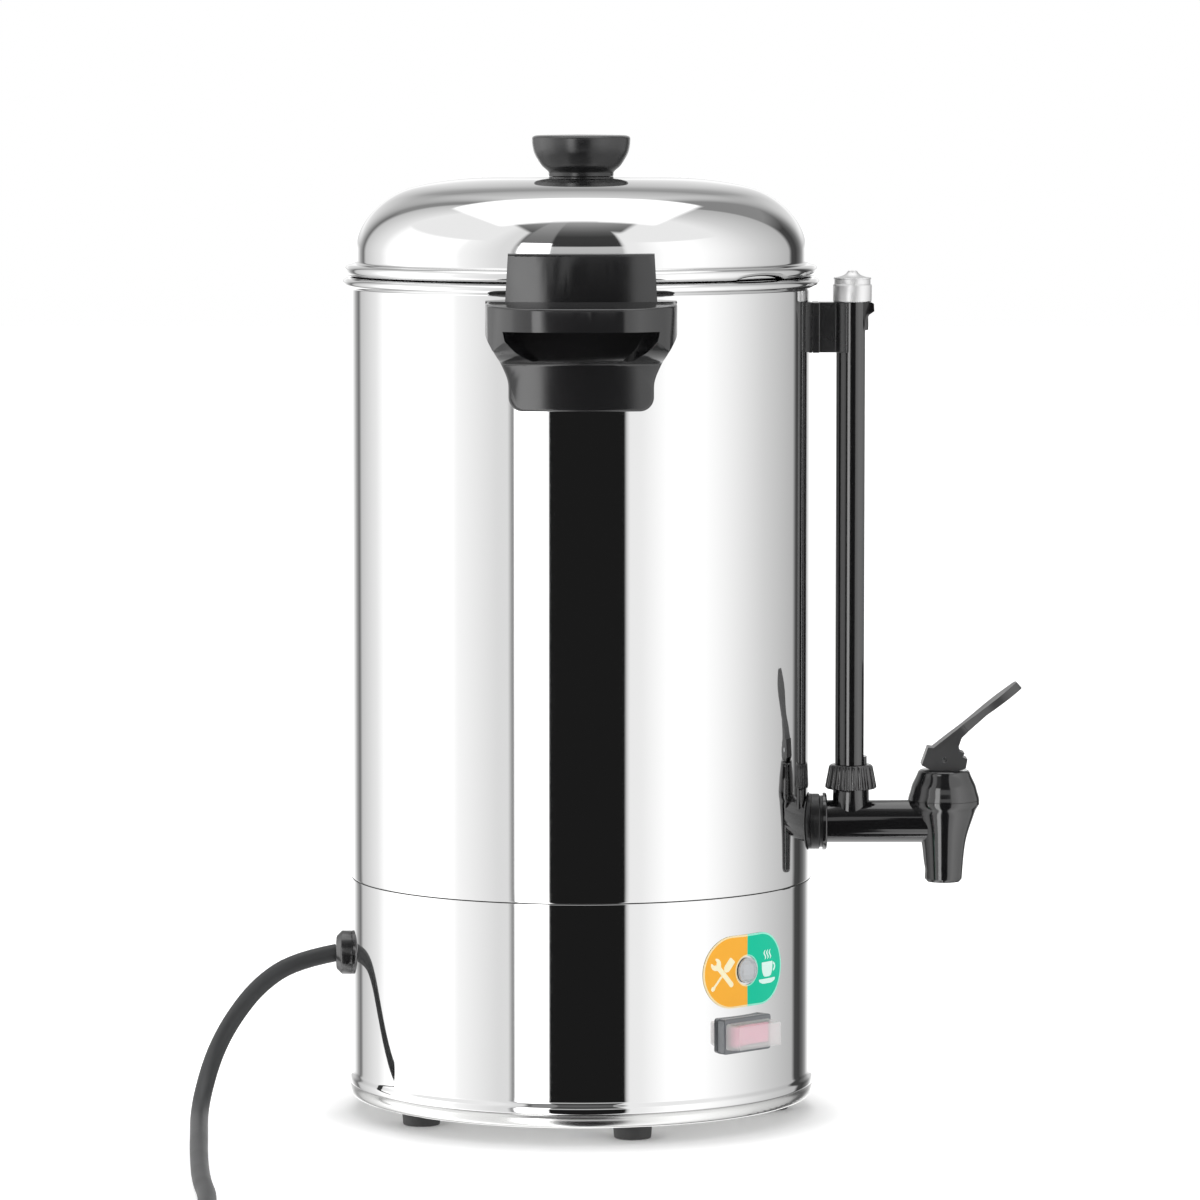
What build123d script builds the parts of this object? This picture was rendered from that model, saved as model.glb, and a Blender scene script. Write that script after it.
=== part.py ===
from build123d import *

import os
from math import asin, atan, cos, degrees, radians, sin, tan

# Hot water urn: a single-walled stainless tank on a base skirt, with a lift-off lid, two handles,
# a lever tap with a sight gauge, a rocker switch, an indicator lamp and a fixed mains lead.
# Millimetres. +Z is up, the origin is on the tank's axis at the level that the feet stand on,
# -Y is the front handle, +X is the tap, -X is the mains lead.
# Angles round the tank are counted from the front handle towards the tap.

# ---- Fits and clearances -------------------------------------------------------------------
SEAT_GAP = 0.1  # between a curved face and the piece that lies on it
RUN_GAP = 0.3  # between pieces that move past each other
THREAD_GAP = 0.1  # radial, between a thread and its nut or tapped hole
HOLE_GAP = 0.3  # radial, between a fixing and the hole in sheet metal that it passes
PIN_GAP = 0.05  # radial, between a pin and the hole that turns on it
GLASS_FIT = 0.15  # radial, round the gauge glass
LEVER_SEAT_GAP = 0.2  # between the lever's foot and the bonnet

# ---- Sheet metal body ----------------------------------------------------------------------
BODY_R = 110.0
SHEET = 0.8
SEAM_Z = 112.7  # the tank's step rests on the base skirt here
SEAM_CHAMFER = 0.35
LAP = 8.0  # how far the tank's step reaches down inside the skirt
FLOOR_Z = 118.0  # top face of the tank's floor
FLOOR_SHEET = 1.0
FLOOR_CORNER_R = 6.0
RIM_Z = 399.3  # top of the rolled rim, where the lid sits
RIM_REACH = 3.7
RIM_LAND = 1.2  # width of the rim's flat top
RIM_NOSE_LOW = 3.9  # how far below the top the rim's nose starts and ends
RIM_NOSE_HIGH = 2.3
RIM_DROP = 6.1
SKIRT_BEAD_Z = 14.4
SKIRT_BEAD_HEIGHT = 5.0
SKIRT_BEAD_REACH = 1.5

# ---- Base pan, studs and feet --------------------------------------------------------------
PAN_Z = 7.8
PAN_SHEET = 0.8
PAN_REACH = 1.0  # how far the pan's rim stands outside the skirt
PAN_CORNER_R = 3.0
PAN_SPIGOT = 6.5
VENT_COUNT = 12
VENT_LENGTH = 20.0
VENT_WIDTH = 4.0
VENT_CIRCLE_R = 55.0
FOOT_COUNT = 5
FOOT_FIRST_ANGLE = 15.3
FOOT_CIRCLE_R = BODY_R - 19.5
FOOT_R = 9.3
FOOT_TAPER = 0.6
FOOT_RECESS_R = 4.4
FOOT_RECESS_DEPTH = 4.2
FOOT_SCREW_R = 2.0
FOOT_SCREW_LENGTH = 11.0
SCREW_HEAD_R = 3.8
SCREW_HEAD_HEIGHT = 2.4
STUD_COUNT = 3
STUD_CIRCLE_R = BODY_R - 30.0
STUD_R = 2.0
STUD_END_Z = 4.4
NUT_ACROSS = 7.0
NUT_HEIGHT = 3.0

# ---- Heating ------------------------------------------------------------------------------
PLATE_R = 65.0
PLATE_THICKNESS = 4.0
ELEMENT_TUBE_R = 4.0
ELEMENT_RING_R = 48.0
ELEMENT_GAP_ANGLE = 40.0
ELEMENT_BEND_R = 10.0
ELEMENT_LEG = 13.0
DISC_R = 8.0
DISC_FLANGE_R = 11.0
DISC_FLANGE_HEIGHT = 2.0
DISC_HEIGHT = 9.0
DISC_OFFSET = 16.0
CUTOUT_R = 6.5
TAG_WIDTH = 4.8
TAG_THICKNESS = 0.8
TAG_REACH = 6.0
BRIDGE_HALF_SPAN = 34.0
BRIDGE_WIDTH = 12.0
BRIDGE_THICKNESS = 1.5
BRIDGE_STUD_R = 2.5

# ---- Terminal block, earth stud and leads ---------------------------------------------------
BLOCK_X, BLOCK_Y = -64.0, -20.0
BLOCK_LENGTH, BLOCK_WIDTH, BLOCK_HEIGHT = 36.0, 16.0, 14.0
BLOCK_WELL_R = 1.5
BLOCK_SCREW_R = 2.2
BLOCK_WELL_DEPTH = 6.0
EARTH_X, EARTH_Y = -36.0, 34.0
EARTH_STUD_R = 2.5
EARTH_STUD_HEIGHT = 11.0
EARTH_TAG_R = 5.0
LEAD_R = 1.3
LEAD_BEND_R = 5.0

# ---- Lid ----------------------------------------------------------------------------------
LID_R = BODY_R - 2.4
LID_TOP_Z = 446.6
LID_SHEET = 0.8
LID_SPIGOT = 9.0
LID_FLANGE_REACH = 5.1
VENT_HOLE_R = 2.0
VENT_HOLE_OFFSET = 49.0
NOTCH_ANGLE = 49.5
NOTCH_SPAN = 17.5
NOTCH_HEIGHT = 2.0
LID_DOME = [  # share of the lid's radius, and depth below the crown
    (0.0, 0.0),
    (0.279, 0.25),
    (0.482, 0.8),
    (0.665, 3.2),
    (0.795, 7.0),
    (0.893, 13.8),
    (0.965, 22.9),
    (1.0, 35.6),
]

# ---- Knob ---------------------------------------------------------------------------------
KNOB_WASHER_R = 14.5
KNOB_WASHER_THICKNESS = 0.8
KNOB_FOOT_R = 15.3
KNOB_R = 23.4
KNOB_HEIGHT = 18.5
KNOB_TOP_CORNER_R = 3.4
KNOB_FLANK = [(15.9, 1.6), (18.1, 3.5), (20.5, 6.7), (22.1, 9.5)]  # radius and height
KNOB_SCREW_R = 2.5
KNOB_SCREW_DEPTH = 11.0  # how far the screw reaches into the knob
KNOB_SCREW_HEAD_R = 4.5

# ---- Handles ------------------------------------------------------------------------------
GRIP_Z = 377.7  # underside of the grip
GRIP_TOP_Z = 391.3
GRIP_FALL = 2.1  # how much lower the grip's top is at its front
GRIP_REACH = BODY_R + 43.5
GRIP_FRONT_R = 130.0
GRIP_FRONT_ANGLE = 8.0
GRIP_CORNER_R = 30.0
GRIP_WALL = 5.5
GRIP_EDGE_R = 1.4
GRIP_ROOF_Z = 385.5
GUARD_TOP_Z = 413.3
GUARD_HALF_WIDTH = 34.8
GUARD_HALF_WIDTH_TOP = 33.5
GUARD_R_IN = BODY_R + 5.0
GUARD_R_OUT = BODY_R + 12.4
GUARD_LEAN = 1.0  # the guard's wall is this much thinner at its top
HANDLE_FOOT_Z = 341.4
HANDLE_FOOT_R = BODY_R + 17.0
HANDLE_FOOT_HALF_WIDTH = 33.3
HANDLE_FOOT_CORNER_R = 6.5
HANDLE_FOOT_EDGE_R = 1.6
HANDLE_FLARE_Z = 352.0  # the sides are straight up to here
HANDLE_FLARE = [(35.4, 360.0), (39.2, 367.6), (42.8, 374.0)]  # half width and height
PAD_TOP_Z = 392.6
LEDGE_Z = 364.6  # floor of the finger recess
RECESS_R = BODY_R + 9.5
RECESS_HALF_WIDTH = 29.0
RECESS_HALF_WIDTH_FRONT = 41.0
RECESS_SIDE = [(1.2, 10.0), (4.6, 4.6), (9.8, 0.0)]  # in from the side, and height above its floor
HOLLOW_HALF_WIDTH = 36.0
HANDLE_SCREW_Z = (352.0, 384.5)  # heights of the two screws
WALL_SCREW_R = 2.0
WALL_SCREW_LENGTH = 8.0
SCREW_CLEARANCE = 1.0  # between a screw's end and the bottom of its hole

# ---- Tap ----------------------------------------------------------------------------------
TAP_Z = 138.2
SHANK_R = 10.2
SHANK_BORE_R = 5.5
SHANK_THREAD_R = 9.8
SHANK_END_X = BODY_R - 18.0
FLANGE_X = BODY_R + 5.4
FLANGE_R = 13.8
FLANGE_THICKNESS = 2.0
OUTER_WASHER_R = 13.3
OUTER_WASHER_GROOVE = 1.4
INNER_WASHER_R = 13.5
INNER_WASHER_THICKNESS = 2.5
TAP_NUT_ACROSS = 27.0
TAP_NUT_THICKNESS = 8.0
CUP_X = BODY_R + 63.5
CUP_R = 17.2
CUP_SHOULDER_Z = 148.5
CUP_NECK_R = 14.6
CUP_NECK_HEIGHT = 4.0
CUP_BORE_R = 12.6
CUP_BORE_FOOT_Z = 144.0
CUP_FLANK = [  # radius and height of the bowl between the shoulder and the spout
    (16.5, 145.3),
    (15.6, 143.8),
    (14.5, 140.9),
    (12.5, 135.2),
    (10.9, 129.4),
    (9.85, 122.2),
    (9.15, 113.6),
    (8.95, 110.7),
]
SEAT_Z = 132.5
SEAT_R = 9.0
SPOUT_END_Z = 109.3
SPOUT_BORE_R = 6.2
SPOUT_END_R = 7.9
BONNET_TOP_Z = 163.0
BONNET_TOP_R = 12.0
BONNET_ROOF = 2.2
BONNET_FLANK = [  # radius and height
    (16.7, 151.0),
    (16.2, 152.5),
    (15.45, 155.3),
    (14.15, 158.2),
    (12.8, 161.1),
    (12.4, 162.3),
]
STEM_R = 2.5
STEM_TOP = 2.7  # above the pin
STEM_FOOT_Z = 135.5
SEAT_NOSE_R = 8.2
SEAT_LIP_R = 12.3
SEAT_LIP_TOP_Z = 147.0
SEAT_WEB_Z = 142.0
SEAT_POCKET_R = 7.4
SPRING_R = 5.0
SPRING_WIRE_R = 0.6
SPRING_TURNS = 5

# ---- Tap lever, placed from its pin -----------------------------------------------------------
PIN_Z = 168.5
PIN_R = 1.2
LEVER_CHEEK_WIDTH = 13.0
LEVER_SLOT_WIDTH = 5.6
LEVER_TRAVEL = 32.0  # degrees that the lever's tip is pressed down
LIFT_PER_RADIAN = 6.5  # how far the stem rises as the lever turns
LEVER_RISE = 38.3  # slope of the blade at rest
LEVER_HEEL = [(-5.4, 5.5), (-7.9, 5.8), (-10.9, -2.8), (-6.0, -5.2)]
LEVER_TEETH = [(11.0, 0.2), (8.6, 1.2), (9.6, 3.0), (7.2, 3.9), (6.8, 6.4), (8.2, 10.4), (20.0, 21.4)]
LEVER_TIP = [(0.39, 3.75), (0.62, 7.5), (2.49, 7.7)]  # back from the blade's end, and height
BLADE_LENGTH = 50.5
BLADE_HALF_WIDTH = 8.5
BLADE_ROUNDING = 12.0  # length over which the blade's end is rounded
BLADE_NECK_HALF_WIDTH = 5.0

# ---- Sight gauge --------------------------------------------------------------------------
GAUGE_X = BODY_R + 19.0
GAUGE_NECK_R = 8.7
GAUGE_NECK_Z = 154.1
GAUGE_THREAD_R = 7.4
GAUGE_THREAD_TOP_Z = 160.0
GAUGE_NUT_R = 12.4
GAUGE_NUT_R_TOP = 10.5
GAUGE_NUT_TOP_Z = 165.6
GAUGE_NUT_BORE_TOP_Z = 163.5
GAUGE_NUT_FLUTES = 24
GAUGE_NUT_FLUTE_R = 0.8
GLASS_R = 5.0
GLASS_WALL = 1.2
GLASS_FOOT_Z = 151.6
GLASS_TOP_Z = 396.4
SHIELD_R = 7.7
SHIELD_WALL = 1.4
SHIELD_SLOT = 9.8
SHIELD_TOP_Z = 386.8
SHIELD_COLLAR = 4.0
THUMB_LIP_HALF_WIDTH = 6.0
THUMB_LIP = [(5.4, 373.6), (6.0, 377.0), (6.7, 378.9), (7.8, 381.0), (10.2, 382.6)]
CAP_R = 9.2
CAP_BAND_R = 8.6
CAP_PROFILE = [(9.2, 395.0), (8.6, 395.4), (8.6, 397.6), (8.9, 397.9), (8.9, 398.4)]
CAP_CONE = [(5.2, 399.2), (3.3, 400.2), (2.5, 401.0)]
CAP_TOP_Z = 401.7
BRACKET_Z = 363.0
BRACKET_WALL = 1.2
BRACKET_ARM_WIDTH = 9.0
BRACKET_FOOT_WIDTH = 18.0
BRACKET_FOOT_THICKNESS = 2.8
BRACKET_RING_END_X = GAUGE_X - 2.6
BRACKET_SCREW_Z = 375.0

# ---- Switch, lamp and label ------------------------------------------------------------------
SWITCH_ANGLE = 43.4
SWITCH_Z = 47.8
BEZEL_LENGTH = 30.9
BEZEL_HEIGHT = 16.5
BEZEL_FACE = BODY_R + 3.3  # distance of the bezel's face from the tank's axis
BEZEL_CORNER_R = 1.5
SWITCH_BODY_LENGTH = 28.0
SWITCH_BODY_HEIGHT = 13.0
SWITCH_BACK = BODY_R - 22.0
SWITCH_CAVITY_LENGTH = 26.0
SWITCH_CAVITY_MOUTH = 27.4
SWITCH_MOUTH_DEPTH = 3.0
SWITCH_CAVITY_FLOOR = BODY_R - 10.0
ROCKER_LENGTH = 25.0
ROCKER_HEIGHT = 9.2
ROCKER_PIVOT = BODY_R - 3.5
ROCKER_FACE = 7.0  # from the pivot to the middle of the rocker's face
ROCKER_LEAN = 7.0  # each half of the rocker's face leans this much from the middle
ROCKER_PIN_R = 1.2
ROCKER_PIN_REACH = 1.2
COVER_LENGTH = 29.0
COVER_HEIGHT = 12.6
COVER_FACE = BODY_R + 11.5
COVER_WALL = 0.9
COVER_TAPER = 6.0
SWITCH_TAG_SPREAD = 8.4
SWITCH_TAG_LENGTH = 7.0
SWITCH_TAG_ROOT = 2.0
LAMP_ANGLE = 44.6
LAMP_Z = 77.4
LENS_R = 6.0
LENS_FLANGE = 1.4
LENS_CROWN = 2.2
LENS_BARREL_R = 4.7
LENS_BARREL_END = BODY_R - 9.0
LAMP_HOLDER_R = 6.5
LAMP_HOLDER_FACE = BODY_R - 1.5
LAMP_HOLDER_END = BODY_R - 20.0
LABEL_WIDTH = 52.7
LABEL_HEIGHT = 34.0
LABEL_THICKNESS = 0.25
LABEL_HOLE_R = 6.8

# ---- Mains lead -----------------------------------------------------------------------------
GLAND_Z = 75.0
GLAND_R = 10.5
GLAND_HEAD = 7.4
GLAND_HEAD_CHAMFER = 2.6
GLAND_NECK_R = 7.4
GLAND_NECK_END_R = 5.8
GLAND_MOUTH_R = 5.9
GLAND_MOUTH_DEPTH = 1.6
GLAND_LENGTH = 24.0
CORD_R = 4.25
LONGEST_BEND_R = 5000.0
COIL_MEAN_R = 49.5
COIL_X = -BODY_R - 0.25
COIL_Y = -BODY_R - 345.0
COIL_TAIL = 55.0
COIL_TAIL_GAP = 0.04  # the straight ends are this much thinner, so they part cleanly from the ring
PLUG_R = 18.0
PLUG_LENGTH = 62.0
PLUG_TILT = 7.1  # the plug lies on the back edge of its front
PLUG_FRONT = 20.0
PLUG_TAIL_R = 6.0
PLUG_TAIL = 22.0
PLUG_RIBS = 4
PLUG_PIN_R = 2.4
PLUG_PIN_LENGTH = 19.0
PLUG_PIN_SPREAD = 19.0

# ---- Sizes that follow from the ones above ------------------------------------------------------
TANK_BORE_R = BODY_R - SHEET
STEP_R = TANK_BORE_R - SEAT_GAP
WALL_SEAT_R = BODY_R + SEAT_GAP
FLOOR_UNDER_Z = FLOOR_Z - FLOOR_SHEET
PLATE_TOP_Z = FLOOR_UNDER_Z - SEAT_GAP
PLATE_UNDER_Z = PLATE_TOP_Z - PLATE_THICKNESS
DISC_TOP_Z = PLATE_UNDER_Z - SEAT_GAP
BRIDGE_TOP_Z = DISC_TOP_Z - DISC_HEIGHT
ELEMENT_Z = PLATE_UNDER_Z - SEAT_GAP - ELEMENT_TUBE_R
PAN_TOP_Z = PAN_Z + PAN_SHEET
PAN_RIM_Z = SKIRT_BEAD_Z - SEAT_GAP
PAN_R = BODY_R + PAN_REACH
BLOCK_FOOT_Z = PAN_TOP_Z + SEAT_GAP
BLOCK_TOP_Z = BLOCK_FOOT_Z + BLOCK_HEIGHT
CUP_ROOF_Z = BONNET_TOP_Z - BONNET_ROOF
KNOB_FOOT_Z = LID_TOP_Z + SEAT_GAP + KNOB_WASHER_THICKNESS
GLAND_FACE_X = -BODY_R - SEAT_GAP - GLAND_HEAD


def round_plane(angle, distance, height):
    """A plane square to the radius at this angle: x runs round the tank, y up, z outwards."""
    out = (sin(radians(angle)), -cos(radians(angle)), 0)
    along = (cos(radians(angle)), sin(radians(angle)), 0)
    origin = (distance * out[0], distance * out[1], height)
    return Plane(origin=origin, x_dir=along, z_dir=out)


def upright_plane(x, z=0.0):
    """The plane Y = 0 with its own origin at this X and Z: x runs along X and y up."""
    return Plane(origin=(x, 0, z), x_dir=(1, 0, 0), z_dir=(0, -1, 0))


def upright_axis(x):
    """The vertical line Y = 0 at this X."""
    return Axis((x, 0, 0), (0, 0, 1))


def on_circle(radius, angle):
    """X and Y of a point on a circle round the tank's axis."""
    return radius * sin(radians(angle)), -radius * cos(radians(angle))


def bend_radii(points, limit):
    """A bend radius for each inner point of a route, from its shorter run and its turn."""
    runs = [Vector(*end) - Vector(*start) for start, end in zip(points, points[1:])]
    turns = [radians(one.get_angle(two)) for one, two in zip(runs, runs[1:])]
    shorter = [min(one.length, two.length) for one, two in zip(runs, runs[1:])]
    return [min(limit, 0.45 * run / tan(turn / 2)) for run, turn in zip(shorter, turns)]


def save(part, name):
    """Labels a finished piece and writes it to its own file."""
    part.label = name
    export_step(part, f"parts/{name}.step")


os.makedirs("parts", exist_ok=True)

# ================================================================================================
# Sheet metal body
# ================================================================================================
handle_screw_places = [(angle, height) for angle in (0, 180) for height in HANDLE_SCREW_Z]
wall_screw_places = handle_screw_places + [(90, BRACKET_SCREW_Z)]

with BuildPart() as tank:
    with BuildSketch(Plane.XZ) as tank_section:
        with BuildLine():
            Polyline(
                (0, FLOOR_UNDER_Z),
                (STEP_R - SHEET, FLOOR_UNDER_Z),
                (STEP_R - SHEET, SEAM_Z - LAP),
                (STEP_R, SEAM_Z - LAP),
                (STEP_R, SEAM_Z),
                (BODY_R - SEAM_CHAMFER, SEAM_Z),
                (BODY_R, SEAM_Z + SEAM_CHAMFER),
                (BODY_R, RIM_Z - RIM_DROP),
                (BODY_R + RIM_REACH, RIM_Z - RIM_NOSE_LOW),
                (BODY_R + RIM_REACH, RIM_Z - RIM_NOSE_HIGH),
                (TANK_BORE_R + RIM_LAND, RIM_Z),
                (TANK_BORE_R, RIM_Z),
                (TANK_BORE_R, FLOOR_Z),
                (0, FLOOR_Z),
                close=True,
            )
        make_face()
        fillet(tank_section.vertices().sort_by(Axis.X)[-2:], radius=0.7)
        floor_corners = tank_section.vertices().filter_by_position(Axis.Y, FLOOR_Z, FLOOR_Z)
        fillet(floor_corners.sort_by(Axis.X)[-1], radius=FLOOR_CORNER_R)
    revolve(axis=Axis.Z)
    with BuildSketch(round_plane(90, TANK_BORE_R - 5, TAP_Z)):
        Circle(SHANK_THREAD_R + HOLE_GAP)
    extrude(amount=10, mode=Mode.SUBTRACT)
    for screw_angle, screw_height in wall_screw_places:
        with BuildSketch(round_plane(screw_angle, TANK_BORE_R - 5, screw_height)):
            Circle(WALL_SCREW_R + HOLE_GAP)
        extrude(amount=10, mode=Mode.SUBTRACT)
save(tank.part, "tank")

with BuildPart() as base_skirt:
    with BuildSketch(Plane.XZ) as skirt_section:
        with BuildLine():
            Polyline(
                (TANK_BORE_R, SKIRT_BEAD_Z),
                (BODY_R + SKIRT_BEAD_REACH - 0.7, SKIRT_BEAD_Z),
                (BODY_R + SKIRT_BEAD_REACH, SKIRT_BEAD_Z + 1.0),
                (BODY_R + SKIRT_BEAD_REACH, SKIRT_BEAD_Z + 3.2),
                (BODY_R, SKIRT_BEAD_Z + SKIRT_BEAD_HEIGHT),
                (BODY_R, SEAM_Z - SEAM_CHAMFER),
                (BODY_R - SEAM_CHAMFER, SEAM_Z),
                (TANK_BORE_R, SEAM_Z),
                close=True,
            )
        make_face()
        fillet(skirt_section.vertices().sort_by(Axis.X)[-2:], radius=0.6)
    revolve(axis=Axis.Z)
    with BuildSketch(round_plane(SWITCH_ANGLE, TANK_BORE_R - 5, SWITCH_Z)):
        Rectangle(SWITCH_BODY_LENGTH + HOLE_GAP, SWITCH_BODY_HEIGHT + HOLE_GAP)
    extrude(amount=10, mode=Mode.SUBTRACT)
    with BuildSketch(round_plane(LAMP_ANGLE, TANK_BORE_R - 5, LAMP_Z)):
        Circle(LENS_BARREL_R + HOLE_GAP)
    extrude(amount=10, mode=Mode.SUBTRACT)
    with BuildSketch(round_plane(-90, TANK_BORE_R - 5, GLAND_Z)):
        Circle(GLAND_NECK_R + SEAT_GAP)
    extrude(amount=10, mode=Mode.SUBTRACT)
save(base_skirt.part, "base_skirt")

# ================================================================================================
# Base pan, studs, nuts and feet
# ================================================================================================
foot_places = [
    on_circle(FOOT_CIRCLE_R, FOOT_FIRST_ANGLE + turn * 360 / FOOT_COUNT) for turn in range(FOOT_COUNT)
]
stud_places = [on_circle(STUD_CIRCLE_R, turn * 360 / STUD_COUNT) for turn in range(STUD_COUNT)]

with BuildPart() as base_pan:
    with BuildSketch(Plane.XZ) as pan_section:
        with BuildLine():
            Polyline(
                (0, PAN_Z),
                (PAN_R, PAN_Z),
                (PAN_R, PAN_RIM_Z),
                (TANK_BORE_R - SEAT_GAP, PAN_RIM_Z),
                (TANK_BORE_R - SEAT_GAP, PAN_RIM_Z + PAN_SPIGOT),
                (TANK_BORE_R - SEAT_GAP - PAN_SHEET, PAN_RIM_Z + PAN_SPIGOT),
                (TANK_BORE_R - SEAT_GAP - PAN_SHEET, PAN_RIM_Z - PAN_SHEET),
                (PAN_R - PAN_SHEET, PAN_RIM_Z - PAN_SHEET),
                (PAN_R - PAN_SHEET, PAN_TOP_Z),
                (0, PAN_TOP_Z),
                close=True,
            )
        make_face()
        outer_foot = pan_section.vertices().filter_by_position(Axis.Y, PAN_Z, PAN_Z)
        fillet(outer_foot.sort_by(Axis.X)[-1], radius=PAN_CORNER_R)
        inner_foot = pan_section.vertices().filter_by_position(Axis.Y, PAN_TOP_Z, PAN_TOP_Z)
        fillet(inner_foot.sort_by(Axis.X)[-1], radius=PAN_CORNER_R - PAN_SHEET)
    revolve(axis=Axis.Z)
    with BuildSketch(Plane.XY.offset(PAN_Z)):
        with PolarLocations(VENT_CIRCLE_R, VENT_COUNT, start_angle=15):
            SlotOverall(VENT_LENGTH, VENT_WIDTH)
        with Locations(*stud_places):
            Circle(STUD_R + HOLE_GAP)
        with Locations(*foot_places):
            Circle(FOOT_SCREW_R + SEAT_GAP)
        with Locations((EARTH_X, EARTH_Y)):
            Circle(EARTH_STUD_R - 0.5)
    extrude(amount=PAN_SHEET, mode=Mode.SUBTRACT)
save(base_pan.part, "base_pan")

for number, (foot_x, foot_y) in enumerate(foot_places, start=1):
    with BuildPart() as foot:
        with BuildSketch(upright_plane(foot_x)) as foot_section:
            with BuildLine():
                Polyline(
                    (FOOT_SCREW_R + SEAT_GAP, FOOT_RECESS_DEPTH),
                    (FOOT_RECESS_R, FOOT_RECESS_DEPTH),
                    (FOOT_RECESS_R, 0),
                    (FOOT_R - FOOT_TAPER, 0),
                    (FOOT_R, PAN_Z - SEAT_GAP),
                    (FOOT_SCREW_R + SEAT_GAP, PAN_Z - SEAT_GAP),
                    close=True,
                )
            make_face()
            outer_edge = foot_section.vertices().filter_by_position(Axis.Y, 0, 0)
            fillet(outer_edge.sort_by(Axis.X)[-1], radius=0.8)
        revolve(axis=upright_axis(foot_x))
    save(foot.part.moved(Location((0, foot_y, 0))), f"foot_{number}")

with BuildPart() as foot_screws:
    with BuildSketch(Plane.XY.offset(FOOT_RECESS_DEPTH - SEAT_GAP)):
        with Locations(*foot_places):
            Circle(SCREW_HEAD_R)
    extrude(amount=-SCREW_HEAD_HEIGHT)
    with BuildSketch(Plane.XY.offset(FOOT_RECESS_DEPTH - SEAT_GAP)):
        with Locations(*foot_places):
            Circle(FOOT_SCREW_R)
    extrude(amount=FOOT_SCREW_LENGTH)
save(foot_screws.part, "foot_screws")

with BuildPart() as base_studs:
    with BuildSketch(Plane.XY.offset(STUD_END_Z)):
        with Locations(*stud_places):
            Circle(STUD_R)
    extrude(
        amount=FLOOR_UNDER_Z - STUD_END_Z
    )
save(base_studs.part, "base_studs")

NUT_TOP_Z = PAN_Z - SEAT_GAP
BRIDGE_NUT_TOP_Z = BRIDGE_TOP_Z - BRIDGE_THICKNESS
bridge_stud_places = [(-BRIDGE_HALF_SPAN, 0), (BRIDGE_HALF_SPAN, 0)]

with BuildPart() as hex_nuts:
    with BuildSketch(Plane.XY.offset(NUT_TOP_Z)):
        with Locations(*stud_places):
            RegularPolygon(NUT_ACROSS / 2, 6, major_radius=False)
            Circle(STUD_R + THREAD_GAP, mode=Mode.SUBTRACT)
    extrude(amount=-NUT_HEIGHT)
    with BuildSketch(Plane.XY.offset(BRIDGE_NUT_TOP_Z)):
        with Locations(*bridge_stud_places):
            RegularPolygon(NUT_ACROSS / 2 + 0.5, 6, major_radius=False)
            Circle(BRIDGE_STUD_R + THREAD_GAP, mode=Mode.SUBTRACT)
    extrude(amount=-NUT_HEIGHT)
save(hex_nuts.part, "hex_nuts")

# ================================================================================================
# Heating under the tank's floor
# ================================================================================================
with BuildPart() as heater_plate:
    with BuildSketch(Plane.XY.offset(PLATE_UNDER_Z)):
        Circle(PLATE_R)
    extrude(amount=PLATE_THICKNESS)
    with BuildSketch(Plane.XY.offset(PLATE_UNDER_Z)):
        with Locations(*bridge_stud_places):
            Circle(BRIDGE_STUD_R)
    extrude(amount=-(PLATE_UNDER_Z - BRIDGE_NUT_TOP_Z + NUT_HEIGHT + 1.0))
save(heater_plate.part, "heater_plate")

# The ring of tube is open towards the mains lead; both ends turn down through a quarter bend.
ring_end_angle = 180 - ELEMENT_GAP_ANGLE / 2
ring_end = (
    ELEMENT_RING_R * cos(radians(ring_end_angle)),
    ELEMENT_RING_R * sin(radians(ring_end_angle)),
)
end_along = (-sin(radians(ring_end_angle)), cos(radians(ring_end_angle)))
bend_middle = (
    ring_end[0] + end_along[0] * ELEMENT_BEND_R * sin(radians(45)),
    ring_end[1] + end_along[1] * ELEMENT_BEND_R * sin(radians(45)),
)
element_leg = (
    ring_end[0] + end_along[0] * ELEMENT_BEND_R,
    ring_end[1] + end_along[1] * ELEMENT_BEND_R,
)
ELEMENT_LEG_END_Z = ELEMENT_Z - ELEMENT_BEND_R - ELEMENT_LEG

with BuildPart() as heating_element:
    with BuildLine(Plane.XY.offset(ELEMENT_Z)) as element_path:
        for side in (-1, 1):
            ThreePointArc(
                (ring_end[0], side * ring_end[1], 0),
                (
                    bend_middle[0],
                    side * bend_middle[1],
                    -ELEMENT_BEND_R * (1 - cos(radians(45))),
                ),
                (element_leg[0], side * element_leg[1], -ELEMENT_BEND_R),
            )
            Line(
                (element_leg[0], side * element_leg[1], -ELEMENT_BEND_R),
                (element_leg[0], side * element_leg[1], -ELEMENT_BEND_R - ELEMENT_LEG),
            )
        CenterArc((0, 0, 0), ELEMENT_RING_R, -ring_end_angle, 2 * ring_end_angle)
    with BuildSketch(Plane((*element_leg, ELEMENT_LEG_END_Z))):
        Circle(ELEMENT_TUBE_R)
    sweep()
save(heating_element.part, "heating_element")


def disc_switch(x, body_r):
    """A disc thermostat pressed to the plate at this X, with a tag to each side."""
    with BuildPart() as disc:
        with BuildSketch(upright_plane(x)):
            with BuildLine():
                Polyline(
                    (0, BRIDGE_TOP_Z),
                    (body_r, BRIDGE_TOP_Z),
                    (body_r, DISC_TOP_Z - DISC_FLANGE_HEIGHT),
                    (DISC_FLANGE_R, DISC_TOP_Z - DISC_FLANGE_HEIGHT),
                    (DISC_FLANGE_R, DISC_TOP_Z),
                    (0, DISC_TOP_Z),
                    close=True,
                )
            make_face()
        revolve(axis=upright_axis(x))
        with BuildSketch(Plane.XY.offset(BRIDGE_TOP_Z + 3.9)):
            with Locations((x, 0)):
                Rectangle(TAG_WIDTH, 2 * (DISC_R + TAG_REACH))
        extrude(amount=TAG_THICKNESS)
    return disc.part


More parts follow.
